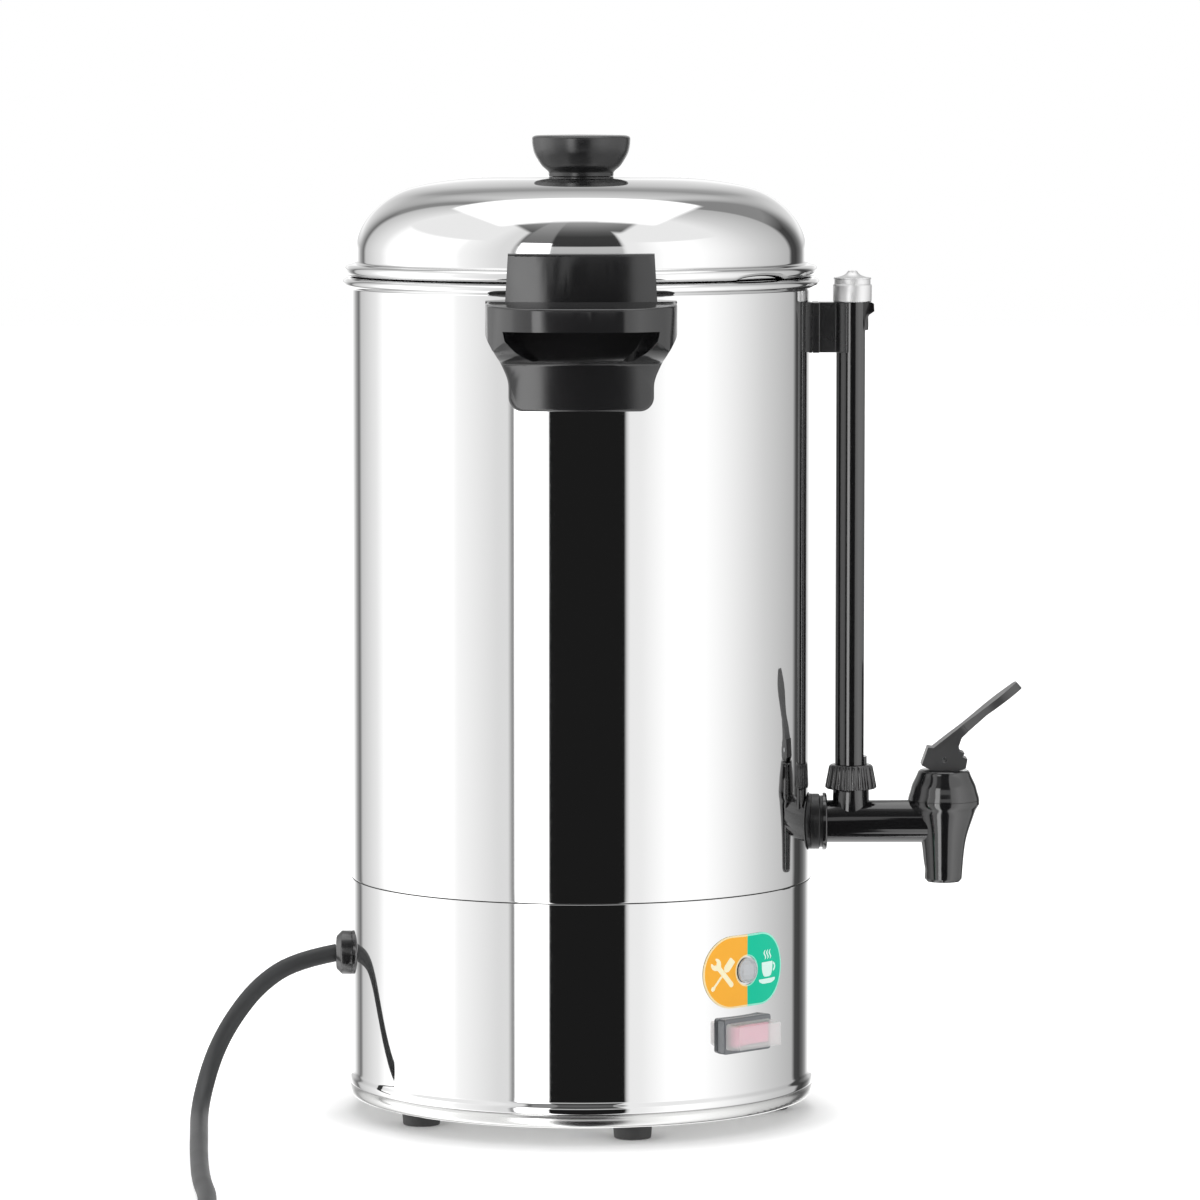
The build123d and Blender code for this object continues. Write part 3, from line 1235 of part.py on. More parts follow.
# ================================================================================================
# Tap: bonnet, valve, spring and lever
# ================================================================================================
with BuildPart() as tap_bonnet:
    with BuildSketch(upright_plane(CUP_X)):
        with BuildLine():
            shoulder = Spline((CUP_R, CUP_SHOULDER_Z), *BONNET_FLANK)
            Polyline(
                shoulder @ 1,
                (BONNET_TOP_R - 0.4, BONNET_TOP_Z),
                (STEM_R + RUN_GAP, BONNET_TOP_Z),
                (STEM_R + RUN_GAP, CUP_ROOF_Z),
                (SEAT_R, CUP_ROOF_Z),
                (CUP_BORE_R, CUP_SHOULDER_Z + CUP_NECK_HEIGHT + SEAT_GAP),
                (CUP_NECK_R + THREAD_GAP, CUP_SHOULDER_Z + CUP_NECK_HEIGHT + SEAT_GAP),
                (CUP_NECK_R + THREAD_GAP, CUP_SHOULDER_Z),
                shoulder @ 0,
            )
        make_face()
    revolve(axis=upright_axis(CUP_X))
save(tap_bonnet.part, "tap_bonnet")

seat_foot = SEAT_Z + SEAT_GAP
with BuildPart() as seat_cup:
    with BuildSketch(upright_plane(CUP_X)) as seat_section:
        with BuildLine():
            Polyline(
                (0, seat_foot),
                (SEAT_NOSE_R, seat_foot),
                (SEAT_NOSE_R, seat_foot + 2.0),
                (SEAT_NOSE_R - 1.4, seat_foot + 3.6),
                (SEAT_NOSE_R - 0.2, SEAT_WEB_Z - 0.8),
                (SEAT_LIP_R - 0.4, SEAT_LIP_TOP_Z - 2.6),
                (SEAT_LIP_R, SEAT_LIP_TOP_Z - 1.6),
                (SEAT_LIP_R, SEAT_LIP_TOP_Z),
                (SEAT_LIP_R - 0.9, SEAT_LIP_TOP_Z),
                (SEAT_POCKET_R + 0.8, SEAT_WEB_Z + 1.6),
                (SEAT_POCKET_R, SEAT_WEB_Z),
                (STEM_R + PIN_GAP, SEAT_WEB_Z),
                (STEM_R + PIN_GAP, STEM_FOOT_Z - SEAT_GAP),
                (0, STEM_FOOT_Z - SEAT_GAP),
                close=True,
            )
        make_face()
    revolve(axis=upright_axis(CUP_X))
save(seat_cup.part, "seat_cup")

pin_across = Plane(origin=(CUP_X, -LEVER_CHEEK_WIDTH, PIN_Z), x_dir=(1, 0, 0), z_dir=(0, 1, 0))
with BuildPart() as tap_stem:
    with BuildSketch(Plane.XY.offset(STEM_FOOT_Z)):
        with Locations((CUP_X, 0)):
            Circle(STEM_R)
    extrude(amount=PIN_Z + STEM_TOP - STEM_FOOT_Z)
    chamfer(tap_stem.edges().group_by(Axis.Z)[-1], length=0.5)
    with BuildSketch(pin_across):
        Circle(PIN_R + PIN_GAP)
    extrude(amount=2 * LEVER_CHEEK_WIDTH, mode=Mode.SUBTRACT)
save(tap_stem.part, "tap_stem")

spring_foot = SEAT_WEB_Z + SPRING_WIRE_R + 0.05
spring_height = CUP_ROOF_Z - SPRING_WIRE_R - 0.05 - spring_foot
with BuildPart() as tap_spring:
    with BuildLine() as coil_line:
        Helix(
            pitch=spring_height / SPRING_TURNS,
            height=spring_height,
            radius=SPRING_R,
            center=(CUP_X, 0, spring_foot),
        )
    with BuildSketch(Plane(origin=coil_line.line @ 0, z_dir=coil_line.line % 0)):
        Circle(SPRING_WIRE_R)
    sweep(is_frenet=True)
save(tap_spring.part, "tap_spring")

with BuildPart() as lever_pin:
    with BuildSketch(pin_across.offset(LEVER_CHEEK_WIDTH / 2)):
        Circle(PIN_R)
    extrude(amount=LEVER_CHEEK_WIDTH)
save(lever_pin.part, "lever_pin")

# The lever's foot is a cam: its flat rests on the bonnet, and from its front edge on the outline
# is the curve that lifts the pin by the same amount for each degree turned.
cam_rest = PIN_Z - BONNET_TOP_Z - LEVER_SEAT_GAP
cam = []
for step in range(5):
    turn = radians(LEVER_TRAVEL * step / 4)
    reach = cam_rest + LIFT_PER_RADIAN * turn
    cam.append(
        (
            reach * sin(turn) + LIFT_PER_RADIAN * cos(turn),
            -reach * cos(turn) + LIFT_PER_RADIAN * sin(turn),
        )
    )
rise_cos, rise_sin = cos(radians(LEVER_RISE)), sin(radians(LEVER_RISE))
lever_tip = [
    (
        (BLADE_LENGTH - back) * rise_cos - height * rise_sin,
        (BLADE_LENGTH - back) * rise_sin + height * rise_cos,
    )
    for back, height in LEVER_TIP
]
blade_plane = Plane(
    origin=(CUP_X, 0, PIN_Z),
    x_dir=(cos(radians(LEVER_RISE)), 0, sin(radians(LEVER_RISE))),
    z_dir=(-sin(radians(LEVER_RISE)), 0, cos(radians(LEVER_RISE))),
)
with BuildPart() as tap_lever:
    with BuildSketch(upright_plane(CUP_X, PIN_Z)) as lever_side:
        with BuildLine():
            cam_line = Spline(*cam)
            Polyline(
                cam_line @ 1, *LEVER_TEETH, *lever_tip, *LEVER_HEEL[:-1], (-6.0, -cam_rest), cam_line @ 0
            )
        make_face()
        fillet(lever_side.vertices().sort_by(Axis.Y)[-1], radius=0.8)
    extrude(amount=BLADE_HALF_WIDTH, both=True)
    with BuildSketch(blade_plane) as lever_plan:
        with BuildLine():
            cheek = LEVER_CHEEK_WIDTH / 2
            neck = Polyline((0, -cheek), (-20, -cheek), (-20, cheek), (7, cheek))
            Spline(
                neck @ 1,
                (15, BLADE_NECK_HALF_WIDTH),
                (30, BLADE_HALF_WIDTH - 0.6),
                (BLADE_LENGTH - BLADE_ROUNDING, BLADE_HALF_WIDTH),
                (BLADE_LENGTH - 3.2, 5.6),
                (BLADE_LENGTH, 0),
                tangents=[(1, 0), (0, -1)],
            )
            Spline(
                (BLADE_LENGTH, 0),
                (BLADE_LENGTH - 3.2, -5.6),
                (BLADE_LENGTH - BLADE_ROUNDING, -BLADE_HALF_WIDTH),
                (30, -BLADE_HALF_WIDTH + 0.6),
                (15, -BLADE_NECK_HALF_WIDTH),
                (7, -cheek),
                tangents=[(0, -1), (-1, 0)],
            )
            Line((7, -cheek), neck @ 0)
        make_face()
    extrude(amount=30, both=True, mode=Mode.INTERSECT)
    with BuildSketch(upright_plane(CUP_X, PIN_Z)):
        with BuildLine():
            Polyline((-5.0, -12), (-5.0, 3.4), (-2.4, 5.0), (4.0, 5.0), (6.8, 2.4), (6.8, -12), close=True)
        make_face()
    extrude(amount=LEVER_SLOT_WIDTH / 2, both=True, mode=Mode.SUBTRACT)
    with BuildSketch(pin_across):
        Circle(PIN_R)
    extrude(amount=2 * LEVER_CHEEK_WIDTH, mode=Mode.SUBTRACT)
save(tap_lever.part, "tap_lever")

# ================================================================================================
# Sight gauge
# ================================================================================================
nut_slope = degrees(atan((GAUGE_NUT_R - GAUGE_NUT_R_TOP) / (GAUGE_NUT_TOP_Z - GAUGE_NECK_Z)))
with BuildPart() as gauge_nut:
    with BuildSketch(upright_plane(GAUGE_X)):
        with BuildLine():
            Polyline(
                (GAUGE_THREAD_R + THREAD_GAP, GAUGE_NECK_Z + SEAT_GAP),
                (GAUGE_NUT_R - 0.6, GAUGE_NECK_Z + SEAT_GAP),
                (GAUGE_NUT_R, GAUGE_NECK_Z + 0.8),
                (GAUGE_NUT_R_TOP, GAUGE_NUT_TOP_Z - 0.8),
                (GAUGE_NUT_R_TOP - 0.8, GAUGE_NUT_TOP_Z),
                (GLASS_R + RUN_GAP, GAUGE_NUT_TOP_Z),
                (GLASS_R + RUN_GAP, GAUGE_NUT_BORE_TOP_Z),
                (GAUGE_THREAD_R + THREAD_GAP, GAUGE_NUT_BORE_TOP_Z),
                close=True,
            )
        make_face()
    revolve(axis=upright_axis(GAUGE_X))
    with Locations((GAUGE_X, 0, (GAUGE_NECK_Z + GAUGE_NUT_TOP_Z) / 2)):
        with PolarLocations((GAUGE_NUT_R + GAUGE_NUT_R_TOP) / 2 + 0.2, GAUGE_NUT_FLUTES):
            Cylinder(GAUGE_NUT_FLUTE_R, 16, rotation=(0, -nut_slope, 0), mode=Mode.SUBTRACT)
save(gauge_nut.part, "gauge_nut")

with BuildPart() as gauge_seal:
    with BuildSketch(Plane.XY.offset(GAUGE_THREAD_TOP_Z + 0.05)):
        with Locations((GAUGE_X, 0)):
            Circle(GAUGE_THREAD_R)
            Circle(GLASS_R + PIN_GAP, mode=Mode.SUBTRACT)
    extrude(amount=GAUGE_NUT_BORE_TOP_Z - GAUGE_THREAD_TOP_Z - 0.1)
save(gauge_seal.part, "gauge_seal")

with BuildPart() as gauge_glass:
    with BuildSketch(Plane.XY.offset(GLASS_FOOT_Z)):
        with Locations((GAUGE_X, 0)):
            Circle(GLASS_R)
            Circle(GLASS_R - GLASS_WALL, mode=Mode.SUBTRACT)
    extrude(amount=GLASS_TOP_Z - GLASS_FOOT_Z)
save(gauge_glass.part, "gauge_glass")

shield_foot = GAUGE_NUT_TOP_Z + SEAT_GAP
lip_top = SHIELD_TOP_Z
with BuildPart() as gauge_shield:
    with BuildSketch(Plane.XY.offset(shield_foot)):
        with Locations((GAUGE_X, 0)):
            Circle(SHIELD_R)
    extrude(amount=SHIELD_TOP_Z - shield_foot)
    with BuildSketch(Plane.XY.offset(shield_foot + SHIELD_COLLAR)):
        with Locations((GAUGE_X + SHIELD_R, 0)):
            Rectangle(2 * SHIELD_R, SHIELD_SLOT)
    extrude(amount=THUMB_LIP[0][1] - shield_foot - SHIELD_COLLAR, mode=Mode.SUBTRACT)
    with BuildSketch(upright_plane(GAUGE_X)):
        with BuildLine():
            under = Spline(*THUMB_LIP[:-1])
            Polyline(
                under @ 1,
                THUMB_LIP[-1],
                (THUMB_LIP[-1][0] - 0.2, lip_top - 0.6),
                (THUMB_LIP[-1][0] - 1.2, lip_top),
                (0, lip_top),
                (0, THUMB_LIP[0][1]),
                under @ 0,
            )
        make_face()
    extrude(amount=THUMB_LIP_HALF_WIDTH, both=True)
    with BuildSketch(Plane.XY.offset(shield_foot)):
        with Locations((GAUGE_X, 0)):
            Circle(SHIELD_R - SHIELD_WALL)
    extrude(amount=SHIELD_TOP_Z - shield_foot, mode=Mode.SUBTRACT)
save(gauge_shield.part, "gauge_shield")

cap_foot = SHIELD_TOP_Z + SEAT_GAP
with BuildPart() as gauge_cap:
    with BuildSketch(upright_plane(GAUGE_X)):
        with BuildLine():
            band = Polyline((CAP_R - 0.4, cap_foot), (CAP_R, cap_foot + 0.4), *CAP_PROFILE)
            cone = Spline(band @ 1, *CAP_CONE)
            Polyline(
                cone @ 1,
                (CAP_CONE[-1][0] - 0.4, CAP_TOP_Z),
                (0, CAP_TOP_Z),
                (0, GLASS_TOP_Z + RUN_GAP),
                (GLASS_R + GLASS_FIT, GLASS_TOP_Z + RUN_GAP),
                (GLASS_R + GLASS_FIT, cap_foot),
                band @ 0,
            )
        make_face()
    revolve(axis=upright_axis(GAUGE_X))
save(gauge_cap.part, "gauge_cap")

bracket_bore_r = SHIELD_R + GLASS_FIT
with BuildPart() as gauge_bracket:
    with BuildSketch(Plane.XY.offset(BRACKET_Z)) as bracket_plan:
        with Locations((GAUGE_X, 0)):
            Circle(bracket_bore_r + BRACKET_WALL)
        with Locations((BRACKET_RING_END_X + 50, 0)):
            Rectangle(100, 40, mode=Mode.SUBTRACT)
        with Locations(((GAUGE_X - SHIELD_R + BODY_R) / 2, 0)):
            Rectangle(GAUGE_X - SHIELD_R - BODY_R, BRACKET_ARM_WIDTH)
        with Locations((BODY_R, 0)):
            Rectangle(2 * BRACKET_FOOT_THICKNESS + 0.6, BRACKET_FOOT_WIDTH)
        Circle(WALL_SEAT_R, mode=Mode.SUBTRACT)
        with Locations((GAUGE_X, 0)):
            Circle(bracket_bore_r, mode=Mode.SUBTRACT)
    extrude(amount=SHIELD_TOP_Z - BRACKET_Z)
    with BuildSketch(round_plane(90, BODY_R - 2, BRACKET_SCREW_Z)):
        Circle(WALL_SCREW_R + THREAD_GAP)
    extrude(amount=2 + WALL_SCREW_LENGTH + SCREW_CLEARANCE, mode=Mode.SUBTRACT)
save(gauge_bracket.part, "gauge_bracket")

# ================================================================================================
# Rocker switch, its splash cover, the lamp and the label
# ================================================================================================
switch_outwards = Axis((0, 0, 0), round_plane(SWITCH_ANGLE, 1, 0).z_dir)
with BuildPart() as switch_housing:
    with BuildSketch(round_plane(SWITCH_ANGLE, BEZEL_FACE, SWITCH_Z)):
        RectangleRounded(BEZEL_LENGTH, BEZEL_HEIGHT, BEZEL_CORNER_R)
    extrude(amount=-8)
    chamfer(switch_housing.faces().sort_by(switch_outwards)[-1].edges(), length=0.5)
    with BuildSketch(Plane.XY.offset(SWITCH_Z - BEZEL_HEIGHT)):
        Circle(WALL_SEAT_R)
    extrude(amount=2 * BEZEL_HEIGHT, mode=Mode.SUBTRACT)
    with BuildSketch(round_plane(SWITCH_ANGLE, SWITCH_BACK, SWITCH_Z)):
        RectangleRounded(SWITCH_BODY_LENGTH, SWITCH_BODY_HEIGHT, 0.8)
    extrude(amount=BEZEL_FACE - SWITCH_BACK - 1)
    with BuildSketch(round_plane(SWITCH_ANGLE, SWITCH_CAVITY_FLOOR, SWITCH_Z)):
        Rectangle(SWITCH_CAVITY_LENGTH, ROCKER_HEIGHT + 2 * RUN_GAP)
    extrude(amount=20, mode=Mode.SUBTRACT)
    with BuildSketch(round_plane(SWITCH_ANGLE, BEZEL_FACE - SWITCH_MOUTH_DEPTH, SWITCH_Z)):
        Rectangle(SWITCH_CAVITY_MOUTH, ROCKER_HEIGHT + 2 * RUN_GAP)
    extrude(amount=20, mode=Mode.SUBTRACT)
    with BuildSketch(Plane.XY.offset(SWITCH_Z - ROCKER_HEIGHT / 2 - RUN_GAP - ROCKER_PIN_REACH)):
        with Locations(on_circle(ROCKER_PIVOT, SWITCH_ANGLE)):
            Circle(ROCKER_PIN_R + PIN_GAP)
    extrude(amount=ROCKER_HEIGHT + 2 * RUN_GAP + 2 * ROCKER_PIN_REACH, mode=Mode.SUBTRACT)
save(switch_housing.part, "switch_housing")

with BuildPart() as switch_tags:
    with BuildSketch(round_plane(SWITCH_ANGLE, SWITCH_BACK - SWITCH_TAG_LENGTH, SWITCH_Z)):
        with Locations((0, -SWITCH_TAG_SPREAD / 2), (0, SWITCH_TAG_SPREAD / 2)):
            Rectangle(TAG_WIDTH, TAG_THICKNESS)
    extrude(amount=SWITCH_TAG_LENGTH - 0.05)
save(switch_tags.part, "switch_tags")

rocker_along = round_plane(SWITCH_ANGLE, 1, 0).x_dir
rocker_middle = (*on_circle(ROCKER_PIVOT, SWITCH_ANGLE), SWITCH_Z)
rocker_flat = Plane(origin=rocker_middle, x_dir=rocker_along, z_dir=(0, 0, -1))
rocker_plane = rocker_flat.rotated((0, 0, ROCKER_LEAN))
end_rise = ROCKER_LENGTH / 2 * tan(radians(ROCKER_LEAN))
with BuildPart() as switch_rocker:
    with BuildSketch(rocker_plane):
        with BuildLine():
            end = ROCKER_LENGTH / 2
            Polyline(
                (0, ROCKER_FACE),
                (end, ROCKER_FACE + end_rise),
                (end - 0.5, ROCKER_FACE - 2.2),
                (end - 3.5, -2.6),
                (-end + 3.5, -2.6),
                (-end + 0.5, ROCKER_FACE - 2.2),
                (-end, ROCKER_FACE + end_rise),
                close=True,
            )
        make_face()
    extrude(amount=ROCKER_HEIGHT / 2, both=True)
    with BuildSketch(rocker_plane):
        Circle(ROCKER_PIN_R)
    extrude(amount=ROCKER_HEIGHT / 2 + RUN_GAP + ROCKER_PIN_REACH - 0.1, both=True)
save(switch_rocker.part, "switch_rocker")

with BuildPart() as switch_cover:
    with BuildSketch(round_plane(SWITCH_ANGLE, BEZEL_FACE + 0.02, SWITCH_Z)):
        RectangleRounded(COVER_LENGTH, COVER_HEIGHT, 1.6)
    extrude(amount=COVER_FACE - BEZEL_FACE, taper=COVER_TAPER)
    with BuildSketch(round_plane(SWITCH_ANGLE, BEZEL_FACE + 0.02, SWITCH_Z)):
        RectangleRounded(COVER_LENGTH - 2 * COVER_WALL, COVER_HEIGHT - 2 * COVER_WALL, 0.9)
    extrude(amount=COVER_FACE - BEZEL_FACE - COVER_WALL, taper=COVER_TAPER, mode=Mode.SUBTRACT)
save(switch_cover.part, "switch_cover")

lens_seat = WALL_SEAT_R + 0.05
crown_r = ((LENS_R - 0.6) ** 2 + LENS_CROWN**2) / (2 * LENS_CROWN)
crown_centre = lens_seat + LENS_FLANGE + LENS_CROWN - crown_r
lens_side = round_plane(LAMP_ANGLE, 0, LAMP_Z)
lens_plane = Plane(origin=lens_side.origin, x_dir=lens_side.z_dir, z_dir=-lens_side.x_dir)
with BuildPart() as lamp_lens:
    with BuildSketch(lens_plane):
        with BuildLine():
            rim = Polyline(
                (LENS_BARREL_END, 0),
                (LENS_BARREL_END, LENS_BARREL_R),
                (lens_seat, LENS_BARREL_R),
                (lens_seat, LENS_R),
                (lens_seat + LENS_FLANGE, LENS_R),
                (lens_seat + LENS_FLANGE, LENS_R - 0.6),
            )
            crown = CenterArc((crown_centre, 0), crown_r, 0, degrees(asin((LENS_R - 0.6) / crown_r)))
            Line(crown @ 0, rim @ 0)
        make_face()
    revolve(axis=Axis(lens_plane.origin, lens_plane.x_dir))
save(lamp_lens.part, "lamp_lens")

with BuildPart() as lamp_holder:
    with BuildSketch(round_plane(LAMP_ANGLE, LAMP_HOLDER_END, LAMP_Z)):
        Circle(LAMP_HOLDER_R)
    extrude(amount=LAMP_HOLDER_FACE - LAMP_HOLDER_END)
    with BuildSketch(round_plane(LAMP_ANGLE, LENS_BARREL_END - SEAT_GAP, LAMP_Z)):
        Circle(LENS_BARREL_R + SEAT_GAP)
    extrude(amount=20, mode=Mode.SUBTRACT)
save(lamp_holder.part, "lamp_holder")

with BuildPart() as control_label:
    with BuildSketch(round_plane(LAMP_ANGLE, BODY_R - 8, LAMP_Z)):
        SlotOverall(LABEL_WIDTH, LABEL_HEIGHT)
        Circle(LABEL_HOLE_R, mode=Mode.SUBTRACT)
    extrude(amount=20)
    with BuildSketch(Plane.XY.offset(LAMP_Z - LABEL_HEIGHT)):
        Circle(WALL_SEAT_R + LABEL_THICKNESS)
    extrude(amount=2 * LABEL_HEIGHT, mode=Mode.INTERSECT)
    with BuildSketch(Plane.XY.offset(LAMP_Z - LABEL_HEIGHT)):
        Circle(WALL_SEAT_R)
    extrude(amount=2 * LABEL_HEIGHT, mode=Mode.SUBTRACT)
save(control_label.part, "control_label")
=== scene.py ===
from math import cos, pi, radians, sin

import bmesh
import bpy
import numpy as np
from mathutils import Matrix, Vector
from mathutils.geometry import tessellate_polygon


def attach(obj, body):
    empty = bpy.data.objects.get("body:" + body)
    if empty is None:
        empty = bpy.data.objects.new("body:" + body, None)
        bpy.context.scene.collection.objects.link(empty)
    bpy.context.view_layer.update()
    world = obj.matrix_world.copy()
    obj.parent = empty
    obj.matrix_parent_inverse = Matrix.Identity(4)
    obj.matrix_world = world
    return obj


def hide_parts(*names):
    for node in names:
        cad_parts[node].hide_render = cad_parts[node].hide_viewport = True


# Hot water urn: surfaces, finishes, studio and camera. Sizes are in millimetres and become metres
# where a mesh is made. Angles round the tank are counted from the front handle towards the tap.

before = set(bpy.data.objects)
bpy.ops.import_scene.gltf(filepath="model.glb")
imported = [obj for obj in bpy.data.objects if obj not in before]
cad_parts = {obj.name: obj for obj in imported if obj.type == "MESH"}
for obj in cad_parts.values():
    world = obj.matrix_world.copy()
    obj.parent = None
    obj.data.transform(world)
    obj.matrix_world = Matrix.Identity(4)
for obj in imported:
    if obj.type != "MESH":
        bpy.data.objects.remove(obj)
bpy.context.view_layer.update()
MM = 0.001

# ==== Camera =====================================================================================
CAMERA_PLACE = (0.0, -3.0266, 0.5011)  # metres
CAMERA_DIP, CAMERA_TURN = 4.845, 0.169  # degrees down and to the right
camera = bpy.data.objects.new("camera", bpy.data.cameras.new("camera"))
bpy.context.scene.collection.objects.link(camera)
camera.data.sensor_width = 36.0
camera.data.lens = 190.79
camera.location = CAMERA_PLACE
camera.rotation_euler = (radians(90 - CAMERA_DIP), 0.0, radians(-CAMERA_TURN))
camera.data.clip_start, camera.data.clip_end = 0.05, 60.0
bpy.context.scene.camera = camera

# ==== Mains lead =================================================================================
CORD_R = 4.25
COIL_CENTRE = (-110.25, -455.0)
COIL_TURNS, COIL_POINTS = 4.16, 16  # points per turn
COIL_LANES = [(53.75, 4.25), (45.25, 4.25), (45.25, 12.75), (53.75, 12.75), (49.5, 21.3)]
LANE_CHANGES = [(0.84, 1.0), (0.68, 0.84), (0.54, 0.70), (0.40, 0.56)]  # in fractions of a turn
GLAND_EXIT = (-117.2, 0.0, 74.9)

lead_route = [
    GLAND_EXIT,
    (-136.9, -1.7, 71.4),
    (-154.3, -4.3, 60.2),
    (-167.2, -8.6, 44.0),
    (-175.5, -17.0, 28.5),
    (-180.1, -33.9, 12.0),
    (-180.5, -56.7, CORD_R),
    (-177.9, -98.3, CORD_R),
    (-175.2, -147.5, CORD_R),
    (-169.8, -223.2, CORD_R),
    (-162.8, -274.2, CORD_R),
    (-164.0, -330.0, CORD_R),
    (-164.0, -400.0, CORD_R),
]


def coil_route():
    """Points round the coil: the turn counts up from the west side, and within each turn the cord
    changes from its lane (radius and height) to the next one along a smooth step. The control
    points lie a little outside the lane, as the spline cuts inside them."""
    turn = (np.arange(int(COIL_TURNS * COIL_POINTS)) + 0.5) / COIL_POINTS
    whole = np.minimum(turn.astype(int), len(COIL_LANES) - 1)
    lanes = np.array(COIL_LANES + COIL_LANES[-1:])
    starts, ends = np.array(LANE_CHANGES + [(2.0, 3.0)]).T  # the last lane is never left
    share = np.clip((turn - whole - starts[whole]) / (ends - starts)[whole], 0, 1)
    share = (share * share * (3 - 2 * share))[:, None]
    lane = lanes[whole] * (1 - share) + lanes[whole + 1] * share
    angle = 2 * pi * turn
    out = lane[:, 0] / cos(pi / COIL_POINTS)
    return np.stack(
        [COIL_CENTRE[0] - out * np.cos(angle), COIL_CENTRE[1] - out * np.sin(angle), lane[:, 1]], 1
    )


# The last stretch steps over the outer lane and comes down to the plug's tail.
lead_end = [
    (-122.0, -509.6, 21.2),
    (-105.0, -511.6, 20.8),
    (-91.0, -511.6, 18.9),
    (-80.0, -510.6, 15.6),
    (-69.0, -509.3, 12.4),
    (-61.5, -508.75, 11.9),
    (-54.55, -508.75, 12.74),
]
lead_points = np.vstack([lead_route, coil_route(), lead_end]) * MM

lead_curve = bpy.data.curves.new("mains_lead", "CURVE")
lead_curve.dimensions = "3D"
lead_curve.bevel_depth = 1.0  # times each point's radius
lead_curve.bevel_resolution = 6
lead_curve.use_fill_caps = True
lead_spline = lead_curve.splines.new("NURBS")
lead_spline.points.add(len(lead_points) - 1)
lead_spline.points.foreach_set("co", np.c_[lead_points, np.ones(len(lead_points))].ravel())
lead_spline.points.foreach_set("radius", np.full(len(lead_points), CORD_R * MM))
lead_spline.order_u = 3
lead_spline.use_endpoint_u = True
lead_spline.resolution_u = 6
mains_lead = bpy.data.objects.new("mains_lead", lead_curve)
bpy.context.scene.collection.objects.link(mains_lead)
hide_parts("power_cord", "cord_coil")
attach(mains_lead, "housing")


# ==== Materials ==================================================================================
def linear(colour):
    """An sRGB hex colour as linear RGBA."""
    value = np.array([int(colour[i : i + 2], 16) for i in (1, 3, 5)]) / 255.0
    value = np.where(value <= 0.04045, value / 12.92, ((value + 0.055) / 1.055) ** 2.4)
    return (*value.tolist(), 1.0)


def add(tree, kind, inputs=None, stops=None, **settings):
    """Adds a shader node: settings are its properties, inputs give each socket a value or the
    output that feeds it, and stops are the places and values of a colour ramp."""
    made = tree.nodes.new("ShaderNode" + kind)
    for key, value in settings.items():
        setattr(made, key, value)
    for key, value in (inputs or {}).items():
        if isinstance(value, bpy.types.NodeSocket):
            tree.links.new(value, made.inputs[key])
        else:
            made.inputs[key].default_value = value
    if stops:
        ramp = made.color_ramp.elements
        while len(ramp) < len(stops):
            ramp.new(1.0)
        for element, (place, value) in zip(ramp, stops):
            element.position = place
            element.color = value if isinstance(value, tuple) else (value, value, value, 1.0)
    return made


def per(size):
    """The texture scale that gives features of this many millimetres."""
    return 1.0 / (size * MM)


def surface(name, **values):
    """A new material with one Principled shader, its even values set on the shader's sockets."""
    material = bpy.data.materials.new(name)
    material.use_nodes = True
    tree = material.node_tree
    tree.nodes.clear()
    shader = add(tree, "BsdfPrincipled", {key.replace("_", " "): v for key, v in values.items()})
    add(tree, "OutputMaterial", {"Surface": shader.outputs[0]})
    place = add(tree, "TexCoord").outputs["Object"]
    return material, tree, shader, place


def rough_between(tree, shader, texture, low, high):
    """Lets a texture vary the roughness between two values."""
    spread = add(tree, "MapRange", {"Value": texture, "To Min": low, "To Max": high})
    tree.links.new(spread.outputs[0], shader.inputs["Roughness"])


def relief(tree, shader, height, depth, normal=None):
    """Raises the surface by a texture, depth in millimetres."""
    inputs = {"Height": height, "Distance": depth * MM, "Strength": 1.0}
    if normal:
        inputs["Normal"] = normal
    bump = add(tree, "Bump", inputs)
    tree.links.new(bump.outputs[0], shader.inputs["Normal"])
    return bump.outputs[0]


SHEET_WAVES = 90.0  # millimetres from one to the next
STREAK_SHAPE, STREAK_DEPTH = (0.08, 0.08, 1.0), 0.00004  # drawn out level, and hardly a scratch


def polished_steel(name, colour, wave, streak, low, high):
    """Stainless sheet, drawn or rolled and mirror polished: it shows sharp reflections that waver a
    little with the sheet, under a faint haze of polishing streaks round the body."""
    material, tree, shader, place = surface(name, Base_Color=linear(colour), Metallic=1.0)
    sheet = add(tree, "TexNoise", {"Vector": place, "Scale": per(SHEET_WAVES), "Detail": 1.0})
    level = add(tree, "Mapping", {"Vector": place, "Scale": STREAK_SHAPE}).outputs[0]
    streaks = add(tree, "TexNoise", {"Vector": level, "Scale": per(streak), "Detail": 3.0})
    rough_between(tree, shader, streaks.outputs["Fac"], low, high)
    waves = relief(tree, shader, sheet.outputs["Fac"], wave)
    relief(tree, shader, streaks.outputs["Fac"], STREAK_DEPTH, waves)
    return material


# Tank and lid: deep drawn sheet, buffed to a mirror. The base skirt is rolled from the same sheet.
tank_steel = polished_steel("stainless_drawn_mirror", "#CFCFCF", 0.035, 1.2, 0.02, 0.05)
lid_steel = polished_steel("stainless_pressed_mirror", "#CFCFCF", 0.02, 1.2, 0.02, 0.055)
skirt_steel = polished_steel("stainless_rolled_mirror", "#CFCFCF", 0.025, 1.2, 0.02, 0.05)
pan_steel = polished_steel("stainless_spun_polished", "#CDCDCC", 0.02, 0.6, 0.14, 0.26)
bracket_steel = polished_steel("zinc_plated_pressed", "#B9BBC0", 0.02, 0.6, 0.22, 0.36)
stem_steel = polished_steel("stainless_turned", "#CFD0D2", 0.004, 0.3, 0.16, 0.28)
spring_steel = polished_steel("spring_wire_stainless", "#C6C7C9", 0.004, 0.3, 0.2, 0.3)
pin_nickel = polished_steel("brass_nickel_plated", "#D9D4C8", 0.003, 0.3, 0.12, 0.22)
